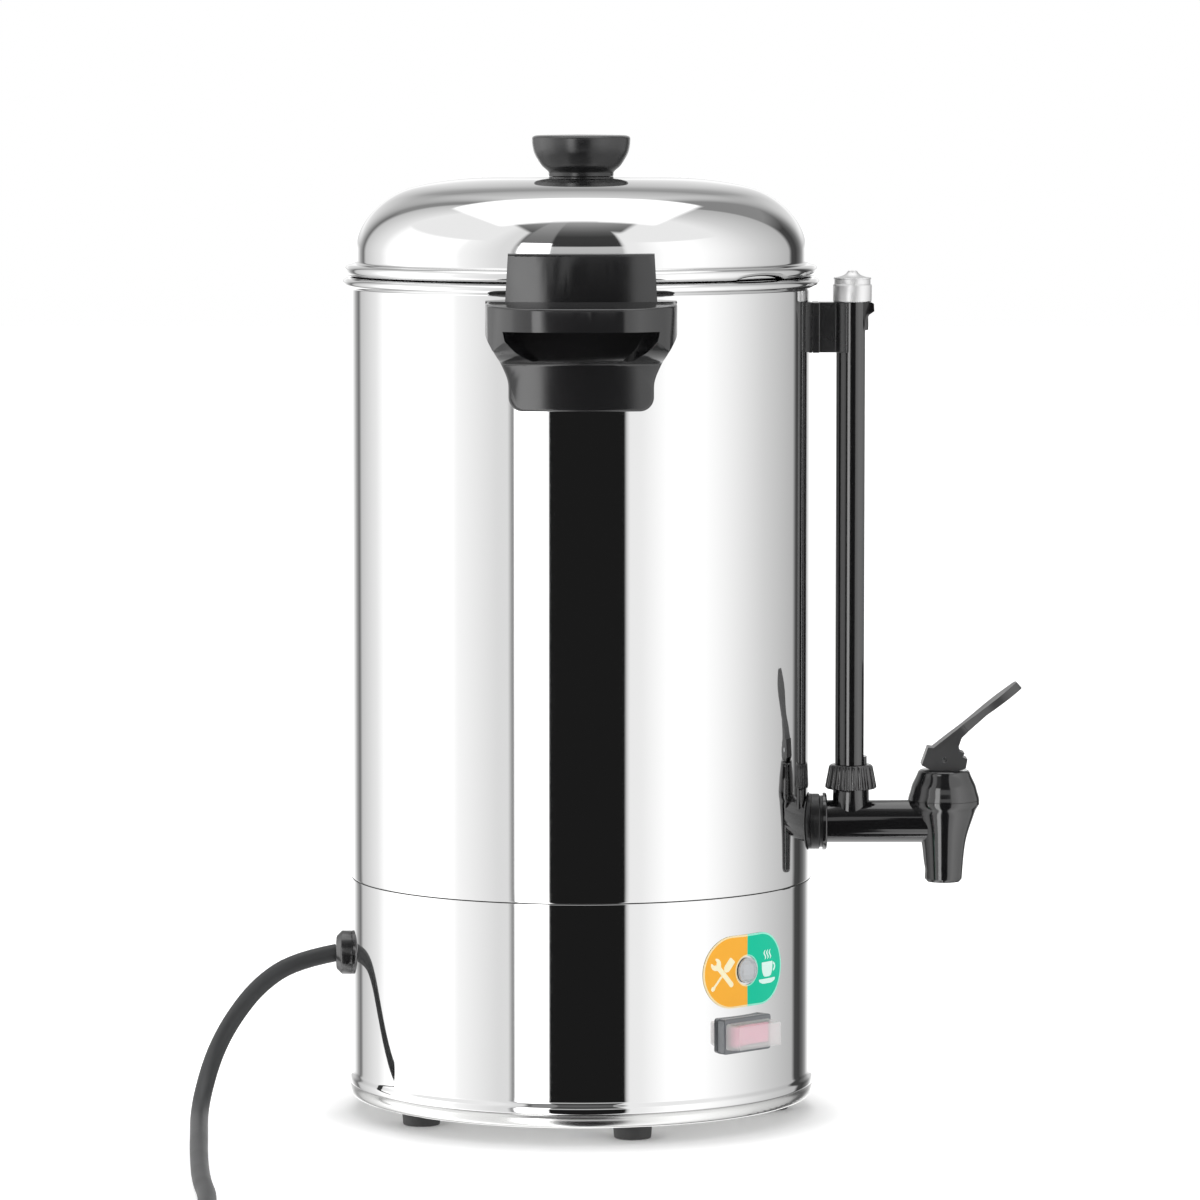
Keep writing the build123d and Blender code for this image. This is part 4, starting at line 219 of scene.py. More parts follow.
brass = polished_steel("brass_turned", "#C9A65A", 0.003, 0.3, 0.2, 0.34)
plate_aluminium = polished_steel("aluminium_plate_milled", "#C9CBCE", 0.01, 0.8, 0.32, 0.46)
element_steel = polished_steel("stainless_tube_annealed", "#9C9388", 0.02, 2.0, 0.3, 0.5)
cap_satin = polished_steel("brass_chrome_satin", "#D6D6D6", 0.006, 0.25, 0.42, 0.52)


def gloss_black(name, colour, low, high, peel, depth, index=1.75):
    """Glossy moulded black plastic: near black with clear reflections that are softened by the
    mould's fine peel, and a roughness that varies with handling."""
    material, tree, shader, place = surface(name, Base_Color=linear(colour), IOR=index)
    marks = add(tree, "TexNoise", {"Vector": place, "Scale": per(14.0), "Detail": 3.0})
    rough_between(tree, shader, marks.outputs["Fac"], low, high)
    skin = add(tree, "TexNoise", {"Vector": place, "Scale": per(peel), "Detail": 2.0})
    relief(tree, shader, skin.outputs["Fac"], depth)
    return material


# Handles and knob: compression moulded phenolic. Tap and gauge guard: injection moulded acetal/ABS.
phenolic = gloss_black("phenolic_moulded_black", "#1C1C1D", 0.10, 0.2, 1.6, 0.0022, 1.6)
knob_phenolic = gloss_black("phenolic_moulded_knob", "#1D1D1E", 0.2, 0.32, 1.6, 0.003, 1.58)
acetal = gloss_black("acetal_moulded_black", "#151516", 0.07, 0.15, 1.4, 0.0016)
lever_acetal = gloss_black("acetal_moulded_lever", "#262627", 0.32, 0.46, 1.2, 0.012)
nut_acetal = gloss_black("acetal_moulded_nut", "#171718", 0.16, 0.28, 1.2, 0.002)
guard_abs = gloss_black("abs_extruded_black", "#161617", 0.08, 0.16, 2.0, 0.0016)
bracket_abs = gloss_black("abs_moulded_black", "#1B1B1C", 0.2, 0.34, 1.0, 0.003)
bezel_nylon = gloss_black("nylon_moulded_grey", "#63666A", 0.2, 0.32, 0.9, 0.003)
gland_nylon = gloss_black("polyamide_moulded_black", "#1A1A1B", 0.18, 0.3, 0.9, 0.003)
block_nylon = gloss_black("polyamide_moulded_white", "#DEDACC", 0.35, 0.5, 0.9, 0.003)
disc_phenolic = gloss_black("phenolic_moulded_brown", "#3A2A22", 0.3, 0.45, 0.9, 0.003)


def matt_rubber(name, colour, grain, depth, low, high):
    """Moulded or extruded rubber: dark, soft sheen, fine grain and a dusty variation."""
    material, tree, shader, place = surface(name, Base_Color=linear(colour), IOR=1.5)
    grains = add(tree, "TexNoise", {"Vector": place, "Scale": per(grain), "Detail": 4.0})
    dust = add(tree, "TexNoise", {"Vector": place, "Scale": per(22.0), "Detail": 3.0})
    rough_between(tree, shader, dust.outputs["Fac"], low, high)
    dusty = tuple(1.25 * part for part in linear(colour)[:3]) + (1.0,)
    tones = [(0.3, linear(colour)), (0.75, dusty)]
    tone = add(tree, "ValToRGB", {"Fac": dust.outputs["Fac"]}, tones)
    tree.links.new(tone.outputs[0], shader.inputs["Base Color"])
    relief(tree, shader, grains.outputs["Fac"], depth)
    return material


def mirrored_behind(material, front):
    """Lets the steel mirror only what lies behind this Y, in millimetres: glossy rays pass through
    the rest of the piece."""
    tree = material.node_tree
    at = add(tree, "SeparateXYZ", {0: add(tree, "TexCoord").outputs["Object"]})
    before = add(tree, "Math", {0: at.outputs["Y"], 1: front * MM}, operation="LESS_THAN")
    glossy = add(tree, "LightPath").outputs["Is Glossy Ray"]
    unseen = add(tree, "Math", {0: before.outputs[0], 1: glossy}, operation="MULTIPLY")
    solid = tree.nodes["Principled BSDF"].outputs[0]
    clear = add(tree, "BsdfTransparent").outputs[0]
    shown = add(tree, "MixShader", {0: unseen.outputs[0], 1: solid, 2: clear})
    tree.links.new(shown.outputs[0], tree.nodes["Material Output"].inputs["Surface"])


SHEATH = ("#2A2B2C", 0.5, 0.012, 0.42, 0.58)
cord_rubber = matt_rubber("rubber_extruded_sheath", *SHEATH)
# The lead has the same sheath, but the skirt mirrors only its first bend and not the length that
# is put away in front of the urn.
lead_rubber = matt_rubber("rubber_extruded_lead", *SHEATH)
mirrored_behind(lead_rubber, -36.0)
foot_rubber = matt_rubber("rubber_moulded_foot", "#2B2B2B", 0.5, 0.02, 0.6, 0.75)
tap_rubber = matt_rubber("rubber_moulded_washer", "#161617", 0.6, 0.006, 0.28, 0.4)
seat_rubber = matt_rubber("silicone_moulded_seat", "#C9C4BA", 0.6, 0.01, 0.45, 0.6)
brown_lead = matt_rubber("pvc_lead_brown", "#6B4027", 0.5, 0.01, 0.35, 0.5)
blue_lead = matt_rubber("pvc_lead_blue", "#2F6DB5", 0.5, 0.01, 0.35, 0.5)

def striped_pvc(name, ground, stripe):
    """Extruded PVC in two colours: satin, with bands of the one along the other."""
    material, tree, shader, place = surface(name, Roughness=0.42, IOR=1.5)
    bands = add(tree, "TexWave", {"Vector": place, "Scale": per(16.0), "Distortion": 1.0})
    stops = [(0.44, linear(ground)), (0.5, linear(stripe))]
    colours = add(tree, "ValToRGB", {"Fac": bands.outputs["Fac"]}, stops)
    tree.links.new(colours.outputs[0], shader.inputs["Base Color"])
    return material


earth_lead = striped_pvc("pvc_lead_green_yellow", "#3E9B45", "#E4CF3A")


def clear_piece(name, colour, low, high, depth, flow_size=6.0, **values):
    """A clear or tinted moulding: the surface keeps a gloss with faint flow marks, and the values
    say how much light passes."""
    material, tree, shader, place = surface(name, Base_Color=linear(colour), **values)
    flow = add(tree, "TexNoise", {"Vector": place, "Scale": per(flow_size), "Detail": 2.0})
    rough_between(tree, shader, flow.outputs["Fac"], low, high)
    relief(tree, shader, flow.outputs["Fac"], depth)
    return material


def facet(material, size, depth):
    """Gives a clear moulding a prismatic inside: cells of this size in millimetres, each one
    rising from its middle to its edge."""
    tree = material.node_tree
    place = add(tree, "TexCoord").outputs["Object"]
    cells = add(tree, "TexVoronoi", {"Vector": place, "Scale": per(size), "Randomness": 0.2})
    relief(tree, tree.nodes["Principled BSDF"], cells.outputs["Distance"], depth)


# Rocker: polycarbonate tinted red. Lens: clear polycarbonate with a prismatic inside. Gauge tube:
# drawn borosilicate glass. Splash cover: a soft, thin PVC boot, a little milky, so what is under
# it shows through pale.
rocker_tint = clear_piece("polycarbonate_moulded_red", "#FF86B2", 0.1, 0.18, 0.004, IOR=1.49)
lens_clear = clear_piece(
    "polycarbonate_moulded_clear", "#C6C9CC", 0.06, 0.12, 0.01, IOR=1.5, Transmission_Weight=0.1
)
facet(lens_clear, 2.4, 0.5)
gauge_glass = clear_piece(
    "borosilicate_drawn_tube", "#F8FBFA", 0.0, 0.02, 0.0005, IOR=1.47, Transmission_Weight=1.0
)
clear_cover = clear_piece(
    "pvc_moulded_clear", "#F4F5F4", 0.06, 0.14, 0.01, flow_size=5.0, IOR=1.5, Alpha=0.34
)


def film(name, colour):
    """Printed polyester film: even ink under a satin overlay with a very fine grain."""
    material, tree, shader, place = surface(name, Base_Color=linear(colour), IOR=1.25)
    grain = add(tree, "TexNoise", {"Vector": place, "Scale": per(0.8), "Detail": 2.0})
    rough_between(tree, shader, grain.outputs["Fac"], 0.32, 0.46)
    relief(tree, shader, grain.outputs["Fac"], 0.002)
    return material


orange_film = film("polyester_printed_orange", "#FDB53C")
green_film = film("polyester_printed_green", "#04C79F")
pale_orange = film("polyester_printed_cream", "#FCE7B4")
pale_green = film("polyester_printed_mint", "#9BEFD6")
icon_orange = film("polyester_printed_ivory", "#FFF6CF")
icon_green = film("polyester_printed_white", "#DFFBF2")


# ==== Pieces =====================================================================================
def place_mesh(name, mesh, materials, body, nodes=()):
    """Makes a piece of a finished mesh: it rides a body and stands for its CAD nodes."""
    piece = bpy.data.objects.new(name, mesh)
    bpy.context.scene.collection.objects.link(piece)
    for material in materials:
        mesh.materials.append(material)
    if nodes:
        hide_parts(*nodes)
    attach(piece, body)
    return piece


def sharpen(mesh, angle):
    """Smooth shading, with the edges that turn more than this many degrees kept sharp."""
    mesh.polygons.foreach_set("use_smooth", np.ones(len(mesh.polygons), bool))
    mesh.set_sharp_from_angle(angle=radians(angle))


def outward(mesh):
    """Merges doubles and turns all faces of a closed surface outwards."""
    shell = bmesh.new()
    shell.from_mesh(mesh)
    bmesh.ops.remove_doubles(shell, verts=shell.verts, dist=1e-7)
    bmesh.ops.recalc_face_normals(shell, faces=shell.faces)
    shell.to_mesh(mesh)
    shell.free()


def smooth_line(points, count, start, end):
    """A curve through the points, with these directions at its ends: piecewise cubics over the
    chord lengths whose second derivatives match at each point, solved as one linear system."""
    points = np.array(points, float)
    steps = np.hypot(*np.diff(points, axis=0).T)
    knots = np.r_[0, np.cumsum(steps)]
    rows = len(points)
    matrix, right = np.zeros((rows, rows)), np.zeros((rows, 2))
    matrix[0, 0] = matrix[-1, -1] = 1
    right[0], right[-1] = start, end
    inner = np.arange(1, rows - 1)
    matrix[inner, inner - 1] = steps[1:]
    matrix[inner, inner] = 2 * (steps[:-1] + steps[1:])
    matrix[inner, inner + 1] = steps[:-1]
    slopes = np.diff(points, axis=0) / steps[:, None]
    right[1:-1] = 3 * (steps[1:, None] * slopes[:-1] + steps[:-1, None] * slopes[1:])
    tangents = np.linalg.solve(matrix, right)
    at = np.linspace(0, knots[-1], count)
    i = np.clip(np.searchsorted(knots, at) - 1, 0, rows - 2)
    h = steps[i][:, None]
    t = ((at - knots[i]) / steps[i])[:, None]
    return (
        (2 * t**3 - 3 * t**2 + 1) * points[i]
        + (t**3 - 2 * t**2 + t) * h * tangents[i]
        + (3 * t**2 - 2 * t**3) * points[i + 1]
        + (t**3 - t**2) * h * tangents[i + 1]
    )


EDGE_SHARE = 0.45  # a rounding takes no more than this of an edge
TURNED_EDGE = 40  # degrees from which an edge of a turned piece stays sharp


def rounded(corners, radii, count=6):
    """An outline whose corners are rounded: each corner is replaced by an arc, drawn as a quadratic
    blend between the points where it leaves the two edges."""
    corners = np.array(corners, float)
    radii = np.broadcast_to(radii, len(corners))
    t = np.linspace(0, 1, count)[:, None]
    line = []
    for i, corner in enumerate(corners):
        if radii[i] <= 0 or i in (0, len(corners) - 1):
            line.append(corner[None])
            continue
        leaves = []
        for edge in (corners[i - 1] - corner, corners[i + 1] - corner):
            length = np.linalg.norm(edge)
            leaves.append(corner + edge / length * min(radii[i], EDGE_SHARE * length))
        line.append((1 - t) ** 2 * leaves[0] + 2 * t * (1 - t) * corner + t**2 * leaves[1])
    return np.vstack(line)


def grid_quads(rows, columns, closed=False):
    """The faces of a grid of points that closes round its columns, and over its rows too where it
    is closed: each joins two neighbours of one row to the same two of the next."""
    i = np.arange(rows if closed else rows - 1)[:, None] * columns
    j = np.arange(columns)[None, :]
    after, along = (i + columns) % (rows * columns), (j + 1) % columns
    return np.stack([i + j, i + along, after + along, after + j], 2).reshape(-1, 4)


def turned_mesh(name, profile, segments, closed=False, change=None):
    """A surface of revolution: the point at profile radius r and height z, at angle a, lies at
    (r sin a, -r cos a, z). change may move the grid of points before the mesh is made."""
    profile = np.array(profile, float)
    angle = np.arange(segments) * 2 * pi / segments
    radius, height = profile[:, :1], profile[:, 1:]
    grid = np.stack([radius * np.sin(angle), -radius * np.cos(angle), height + 0 * angle], 2)
    if change:
        grid = change(grid)
    quads = grid_quads(len(profile), segments, closed)
    mesh = bpy.data.meshes.new(name)
    mesh.from_pydata((grid.reshape(-1, 3) * MM).tolist(), [], quads.tolist())
    outward(mesh)
    sharpen(mesh, TURNED_EDGE)
    return mesh


def dressed(node, material, body, bevel=0.0, angle=30, steps=2):
    """A merged and smoothly shaded copy of a CAD node, with its sharp edges broken by a small
    rounding where bevel gives its width in millimetres."""
    shell = bmesh.new()
    shell.from_mesh(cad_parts[node].data)
    bmesh.ops.remove_doubles(shell, verts=shell.verts, dist=3e-6)
    bmesh.ops.dissolve_degenerate(shell, edges=shell.edges, dist=1e-6)
    if bevel:
        bmesh.ops.dissolve_limit(
            shell, angle_limit=radians(0.6), verts=shell.verts, edges=shell.edges
        )
    mesh = bpy.data.meshes.new(node)
    shell.to_mesh(mesh)
    shell.free()
    sharpen(mesh, angle)
    piece = place_mesh("shown_" + node, mesh, [material], body, [node])
    if bevel:
        edge = piece.modifiers.new("edges", "BEVEL")
        edge.width = bevel * MM
        edge.segments = steps
        edge.limit_method = "ANGLE"
        edge.angle_limit = radians(angle)
        edge.harden_normals = True
        edge.use_clamp_overlap = True
    return piece


# ---- Tank, base skirt and lid -------------------------------------------------------------------
BODY_R, SHEET, SEAM_Z = 110.0, 0.8, 112.7
BORE_R, STEP_R = BODY_R - SHEET, BODY_R - SHEET - 0.1
RIM_Z, RIM_R = 399.3, 113.7
TANK_FLOOR_Z, FLOOR_UNDER_Z, FLOOR_CORNER = 118.0, 117.0, 6.0
STEP_DEPTH = 8.0  # the tank's step reaches this far into the skirt
SEAM_LIP, SEAM_SHADE_BAND = 0.8, 0.34  # the lips' rounding, and how much of each is painted dark as shade in the groove
SKIRT_FOOT_Z, BEAD_R = 14.4, BODY_R + 1.5
SHELL_SEGMENTS = 288


def upright(radius, low, high, count):
    """A straight wall's points from one height to another."""
    return [(radius, height) for height in np.linspace(low, high, count)]


rim_outline = [
    (BODY_R, RIM_Z - 6.6),
    (BODY_R, RIM_Z - 5.6),
    (RIM_R - 1.2, RIM_Z - 4.6),
    (RIM_R, RIM_Z - 3.6),
    (RIM_R, RIM_Z - 2.2),
    (RIM_R - 1.0, RIM_Z - 1.0),
    (BORE_R + 1.2, RIM_Z),
    (BORE_R, RIM_Z),
    (BORE_R, RIM_Z - 2.0),
]
floor_outline = [
    (BORE_R, TANK_FLOOR_Z + FLOOR_CORNER),
    (BORE_R, TANK_FLOOR_Z),
    (BORE_R - 8.0, TANK_FLOOR_Z),
]
tank_profile = np.vstack(
    [
        [(0.0, FLOOR_UNDER_Z), (STEP_R - SHEET, FLOOR_UNDER_Z)],
        [(STEP_R - SHEET, SEAM_Z - STEP_DEPTH), (STEP_R, SEAM_Z - STEP_DEPTH), (STEP_R, SEAM_Z)],
        rounded([(STEP_R, SEAM_Z), (BODY_R, SEAM_Z), (BODY_R, 120.0)], SEAM_LIP),
        upright(BODY_R, 120.0, RIM_Z - 6.6, 40),
        rounded(rim_outline, 0.8, 5),
        upright(BORE_R, RIM_Z - 3.0, TANK_FLOOR_Z + FLOOR_CORNER, 12),
        rounded(floor_outline, FLOOR_CORNER, 8),
        [(60.0, TANK_FLOOR_Z), (0.0, TANK_FLOOR_Z)],
    ]
)
bead_outline = [
    (BORE_R, SKIRT_FOOT_Z),
    (BEAD_R, SKIRT_FOOT_Z),
    (BEAD_R, SKIRT_FOOT_Z + 3.0),
    (BODY_R, SKIRT_FOOT_Z + 5.2),
    (BODY_R, SKIRT_FOOT_Z + 7.6),
]
lip_outline = [
    (BODY_R, SEAM_Z - 2.0),
    (BODY_R, SEAM_Z),
    (BORE_R, SEAM_Z),
    (BORE_R, SEAM_Z - 1.0),
]
skirt_profile = np.vstack(
    [
        [(BORE_R, SKIRT_FOOT_Z)],
        rounded(bead_outline, 0.9),
        upright(BODY_R, SKIRT_FOOT_Z + 8.6, SEAM_Z - 2.0, 24),
        rounded(lip_outline, [0, SEAM_LIP, 0, 0]),
    ]
)
tank_mesh = turned_mesh("tank_shell", tank_profile, SHELL_SEGMENTS)
skirt_mesh = turned_mesh("skirt_shell", skirt_profile, SHELL_SEGMENTS, closed=True)
# Painted shade: a dark matt material laid on the seam, standing for the shadow in the groove
# between tank and skirt.
seam_painted_shade = matt_rubber("stainless_seam_painted_shade", "#202020", 0.5, 0.004, 0.5, 0.6)
for mesh in (tank_mesh, skirt_mesh):
    # The two lips' inner faces, where the tank sits on the skirt, are painted dark: a painted shade
    # for the groove between them.
    middle = np.zeros(len(mesh.polygons) * 3, np.float32)
    mesh.polygons.foreach_get("center", middle)
    dark = np.abs(middle[2::3] - SEAM_Z * MM) < SEAM_SHADE_BAND * MM
    mesh.polygons.foreach_set("material_index", dark.astype(np.int32))
tank_finish, skirt_finish = [tank_steel, seam_painted_shade], [skirt_steel, seam_painted_shade]
place_mesh("tank_shell", tank_mesh, tank_finish, "housing", ["tank"])
place_mesh("skirt_shell", skirt_mesh, skirt_finish, "housing", ["base_skirt"])

LID_R = 107.6
LID_TOP_Z = 446.6
CROWN_DEPTH = 20.0  # the vents are looked for no further below the top
LID_DOME = [
    (0.0, 0.0),
    (30.0, 0.25),
    (51.9, 0.8),
    (71.6, 3.2),
    (85.5, 7.0),
    (96.1, 13.8),
    (103.8, 22.9),
    (107.6, 35.6),
]
VENT_R, VENT_OFFSET, VENT_REACH = 2.0, 49.0, 9.0
NOTCH_ANGLE, NOTCH_SPAN, NOTCH_HEIGHT = 49.5, 17.5, 2.0
BEAD_TOP, BEAD_FADE, BEAD_FOOT = 4.2, 2.6, 2.5  # where the notch lifts the bead, from the rim

dome = smooth_line([(r, LID_TOP_Z - fall) for r, fall in LID_DOME], 96, (1, 0), (0, -1))
lid_edge = [
    dome[-1],
    (LID_R, RIM_Z + 6.3),
    (LID_R + 3.6, RIM_Z + 5.6),
    (LID_R + 5.0, RIM_Z + BEAD_TOP),
    (LID_R + 5.0, RIM_Z + 2.0),
    (LID_R + 3.6, RIM_Z + 0.5),
    (LID_R + 1.4, RIM_Z + 0.1),
    (LID_R, RIM_Z),
    (LID_R, RIM_Z - 2.0),
    (LID_R, RIM_Z - 9.0),
]
lid_profile = np.vstack([[(0.02, LID_TOP_Z)], dome[1:], rounded(lid_edge, 1.2, 5)])


def shape_lid(grid):
    """Opens the two vent holes and raises the notch: points near a hole's centre are pushed out so
    that the innermost ones stand on its edge, and the bead's lower half rises under an arch, the
    root of a cosine."""
    x, y, z = grid[..., 0], grid[..., 1], grid[..., 2]
    for side in (-1, 1):
        away = np.hypot(x - side * VENT_OFFSET, y)
        near = (away < VENT_REACH) & (z > LID_TOP_Z - CROWN_DEPTH)
        pushed = VENT_R + away * (VENT_REACH - VENT_R) / VENT_REACH
        scale = np.where(near & (away > 1e-6), pushed / np.maximum(away, 1e-6), 1.0)
        x = side * VENT_OFFSET + (x - side * VENT_OFFSET) * scale
        y = y * scale
        z = np.where(near, np.interp(np.hypot(x, y), dome[:, 0], dome[:, 1]), z)
    turn = np.degrees(np.arctan2(x, -y)) - NOTCH_ANGLE
    arch = np.clip(np.cos(turn * pi / NOTCH_SPAN), 0, 1) * (np.abs(turn) < NOTCH_SPAN / 2)
    on_bead = (z > RIM_Z - BEAD_FOOT) & (np.hypot(x, y) > LID_R + 0.5)
    low = np.clip((RIM_Z + BEAD_TOP - z) / BEAD_FADE, 0, 1) * on_bead
    return np.stack([x, y, z + NOTCH_HEIGHT * arch**0.5 * low], -1)


def over_vent(face):
    """Whether a face of the lid was stretched over one of the two vent holes."""
    centre = face.calc_center_median()
    away = min((centre.xy - Vector((side * VENT_OFFSET * MM, 0))).length for side in (-1, 1))
    return centre.z > (LID_TOP_Z - CROWN_DEPTH) * MM and away < VENT_R * MM * 0.98


lid_mesh = turned_mesh("lid_shell", lid_profile, SHELL_SEGMENTS, change=shape_lid)
opened = bmesh.new()
opened.from_mesh(lid_mesh)
bmesh.ops.delete(opened, geom=list(filter(over_vent, opened.faces)), context="FACES")
opened.to_mesh(lid_mesh)
opened.free()
lid = place_mesh("lid_shell", lid_mesh, [lid_steel], "lid", ["lid"])
lid_wall = lid.modifiers.new("sheet", "SOLIDIFY")
lid_wall.thickness = SHEET * MM
lid_wall.offset = -1.0

# ---- Knob ---------------------------------------------------------------------------------------
# Radii and heights over its foot, which comes down round its washer.
KNOB_FOOT_Z, WASHER_R, WASHER_CUP = 447.5, 14.7, 0.85
KNOB_FLANK = [(16.0, 1.7), (18.1, 3.5), (20.5, 6.7), (22.1, 9.5), (23.3, 14.6)]
KNOB_FOOT = [(WASHER_R, -WASHER_CUP), (15.4, -WASHER_CUP), (15.4, 1.0), KNOB_FLANK[0]]
KNOB_TOP = [KNOB_FLANK[-1], (23.4, 18.4), (14.0, 18.6), (0.0, 18.8)]
knob_profile = np.vstack(
    [
        [(0.0, 0.0), (WASHER_R, 0.0), (WASHER_R, -WASHER_CUP)],
        rounded(KNOB_FOOT, [0, 0.2, 0.4, 0]),
        smooth_line(KNOB_FLANK, 24, (0.7, 0.7), (0.15, 1))[1:],
        rounded(KNOB_TOP, [0, 3.2, 4.0, 0], 9)[1:],
    ]
)
knob_mesh = turned_mesh("knob_moulding", knob_profile + (0.0, KNOB_FOOT_Z), 128)
place_mesh("knob_moulding", knob_mesh, [knob_phenolic], "lid", ["lid_knob"])

# ---- Handles, tap, gauge, switch: smooth copies of their solids ---------------------------------
for node in ("handle_front", "handle_rear"):
    dressed(node, phenolic, "housing", bevel=0.9, angle=28, steps=3)

dressed("tap_body", acetal, "housing", bevel=0.35)
dressed("tap_bonnet", acetal, "housing", bevel=0.3)
dressed("tap_lever", lever_acetal, "lever", bevel=0.6, steps=3)
dressed("tap_washer_outer", tap_rubber, "housing", bevel=0.3)
dressed("tap_washer_inner", tap_rubber, "housing")
dressed("tap_nut", nut_acetal, "housing", bevel=0.5)
dressed("gauge_nut", nut_acetal, "housing", angle=35)
dressed("gauge_shield", guard_abs, "housing", bevel=0.25)
dressed("gauge_bracket", bracket_abs, "housing", bevel=0.4)
dressed("gauge_glass", gauge_glass, "housing")
dressed("gauge_cap", cap_satin, "housing", bevel=0.15)
dressed("base_pan", pan_steel, "housing")
dressed("switch_housing", bezel_nylon, "housing", bevel=0.3)
dressed("switch_rocker", rocker_tint, "rocker", bevel=0.5)
dressed("switch_cover", clear_cover, "housing", bevel=0.3)
dressed("lamp_lens", lens_clear, "housing", bevel=0.2)
dressed("cord_gland", gland_nylon, "housing", bevel=0.4)
dressed("plug_body", cord_rubber, "housing", bevel=0.8)
dressed("plug_pins", pin_nickel, "housing")
for number in range(1, 6):
    dressed(f"foot_{number}", foot_rubber, "housing", bevel=0.3)

mains_lead.data.materials.append(lead_rubber)
for hidden in ("shown_plug_body", "shown_plug_pins"):
    bpy.data.objects[hidden].visible_glossy = False

# ---- Label with its two signs -------------------------------------------------------------------
LABEL_ANGLE, LABEL_Z = 44.6, 77.4
LABEL_WIDTH, LABEL_HEIGHT, LABEL_HOLE_R = 52.7, 34.0, 6.8
LABEL_R = BODY_R + 0.1  # its back, just clear of the skirt
LABEL_FACE_R = LABEL_R + 0.25
LABEL_COLUMNS, LABEL_ROWS = 192, 20
OUTER_EDGE, HOLE_EDGE = 0.9, 0.7  # the widths of the pale edges


def on_skirt(points, radius):
    """Wraps flat points (round, up) in millimetres on the skirt: the first one is an arc length."""
    angle = radians(LABEL_ANGLE) + points[..., 0] / BODY_R
    up = LABEL_Z + points[..., 1]
    return np.stack([radius * np.sin(angle), -radius * np.cos(angle), up], -1)


def label_mesh():
    """The film between its round hole and its outline of two half circles joined by straight
    lines: the rows share out the straight line from the one to the other. The innermost and
    outermost rows are the pale edges, and the film's sides reach back to the skirt."""
    turn = (np.arange(LABEL_COLUMNS) + 0.5) * 2 * pi / LABEL_COLUMNS
    half = LABEL_HEIGHT / 2
    straight = (LABEL_WIDTH - LABEL_HEIGHT) / 2
    # The outline's reach in each direction, where it meets a straight side or a half circle.
    side = half / np.maximum(np.abs(np.sin(turn)), 1e-9)
    cap = straight * np.abs(np.cos(turn)) + np.sqrt(half**2 - (straight * np.sin(turn)) ** 2)
    reach = np.where(np.abs(side * np.cos(turn)) <= straight, side, cap)
    first, last = LABEL_HOLE_R + HOLE_EDGE, reach - OUTER_EDGE
    face = first + (last - first) * np.linspace(0, 1, LABEL_ROWS)[:, None]
    hole = np.full_like(turn, LABEL_HOLE_R)
    out = np.vstack([hole, hole, face, reach, reach])[..., None]
    radius = np.full((len(out), 1), LABEL_FACE_R)
    radius[[0, -1]] = LABEL_R
    grid = on_skirt(out * np.stack([np.cos(turn), np.sin(turn)], -1), radius)
    quads = grid_quads(len(out), LABEL_COLUMNS)[:, [0, 3, 2, 1]]
    mesh = bpy.data.meshes.new("label_film")
    mesh.from_pydata((grid.reshape(-1, 3) * MM).tolist(), [], quads.tolist())
    right = np.cos(turn + pi / LABEL_COLUMNS) > 0
    band = np.arange(len(out) - 1)[:, None]
    edge = (band <= 1) | (band >= len(out) - 3)
    index = np.where(right, 1, 0) + np.where(edge, 2, 0)
    mesh.polygons.foreach_set("material_index", index.astype(np.int32).ravel())
    sharpen(mesh, 30)
    return mesh


label_films = [orange_film, green_film, pale_orange, pale_green]
place_mesh("label_film", label_mesh(), label_films, "housing", ["control_label"])


def arc_points(centre, radius, start, end, count):
    """Points on an arc, its angles in degrees, counted from the right-hand side upwards."""
    angle = np.radians(np.linspace(start, end, count))
    return np.stack([centre[0] + radius * np.cos(angle), centre[1] + radius * np.sin(angle)], 1)


def turned_about(points, angle):
    """Turns flat points about their origin by an angle in degrees."""
    points = np.array(points, float)
    c, s = cos(radians(angle)), sin(radians(angle))
    return points @ np.array([[c, s], [-s, c]])


SIGN_LIFT = 0.05  # over the film's face, and as deep into it
SIGN_EDGE = 1.6  # longer edges are cut in four, so that the sign follows the skirt


def place_sign(name, outlines, centre, material):
    """Printed shapes: each closed outline is filled with triangles, cut finer, wrapped on the label
    and given a wall down into the film."""
    shapes = [np.c_[outline + np.array(centre), np.zeros(len(outline))] for outline in outlines]
    firsts = np.cumsum([0] + [len(shape) for shape in shapes])
    triangles = [
        [int(first + corner) for corner in triangle]
        for first, shape in zip(firsts, shapes)
        for triangle in tessellate_polygon([shape.tolist()])
    ]
    mesh = bpy.data.meshes.new(name)
    mesh.from_pydata(np.vstack(shapes).tolist(), [], triangles)
    shell = bmesh.new()
    shell.from_mesh(mesh)
    bmesh.ops.recalc_face_normals(shell, faces=shell.faces)
    face_down = [face for face in shell.faces if face.normal.z < 0]
    bmesh.ops.reverse_faces(shell, faces=face_down)
    long_edges = [edge for edge in shell.edges if edge.calc_length() > SIGN_EDGE]
    bmesh.ops.subdivide_edges(shell, edges=long_edges, cuts=3, use_grid_fill=True)
    bmesh.ops.triangulate(shell, faces=shell.faces)
    wall = bmesh.ops.extrude_face_region(shell, geom=shell.faces[:])
    raised = [item for item in wall["geom"] if isinstance(item, bmesh.types.BMVert)]
    bmesh.ops.translate(shell, verts=raised, vec=(0.0, 0.0, 1.0))
    shell.to_mesh(mesh)
    shell.free()
    flat = np.zeros(len(mesh.vertices) * 3)
    mesh.vertices.foreach_get("co", flat)
    flat = flat.reshape(-1, 3)
    radius = LABEL_FACE_R + np.where(flat[:, 2] > 0.5, SIGN_LIFT, -SIGN_LIFT)
    mesh.vertices.foreach_set("co", (on_skirt(flat, radius) * MM).ravel())
    outward(mesh)
    place_mesh(name, mesh, [material], "housing")


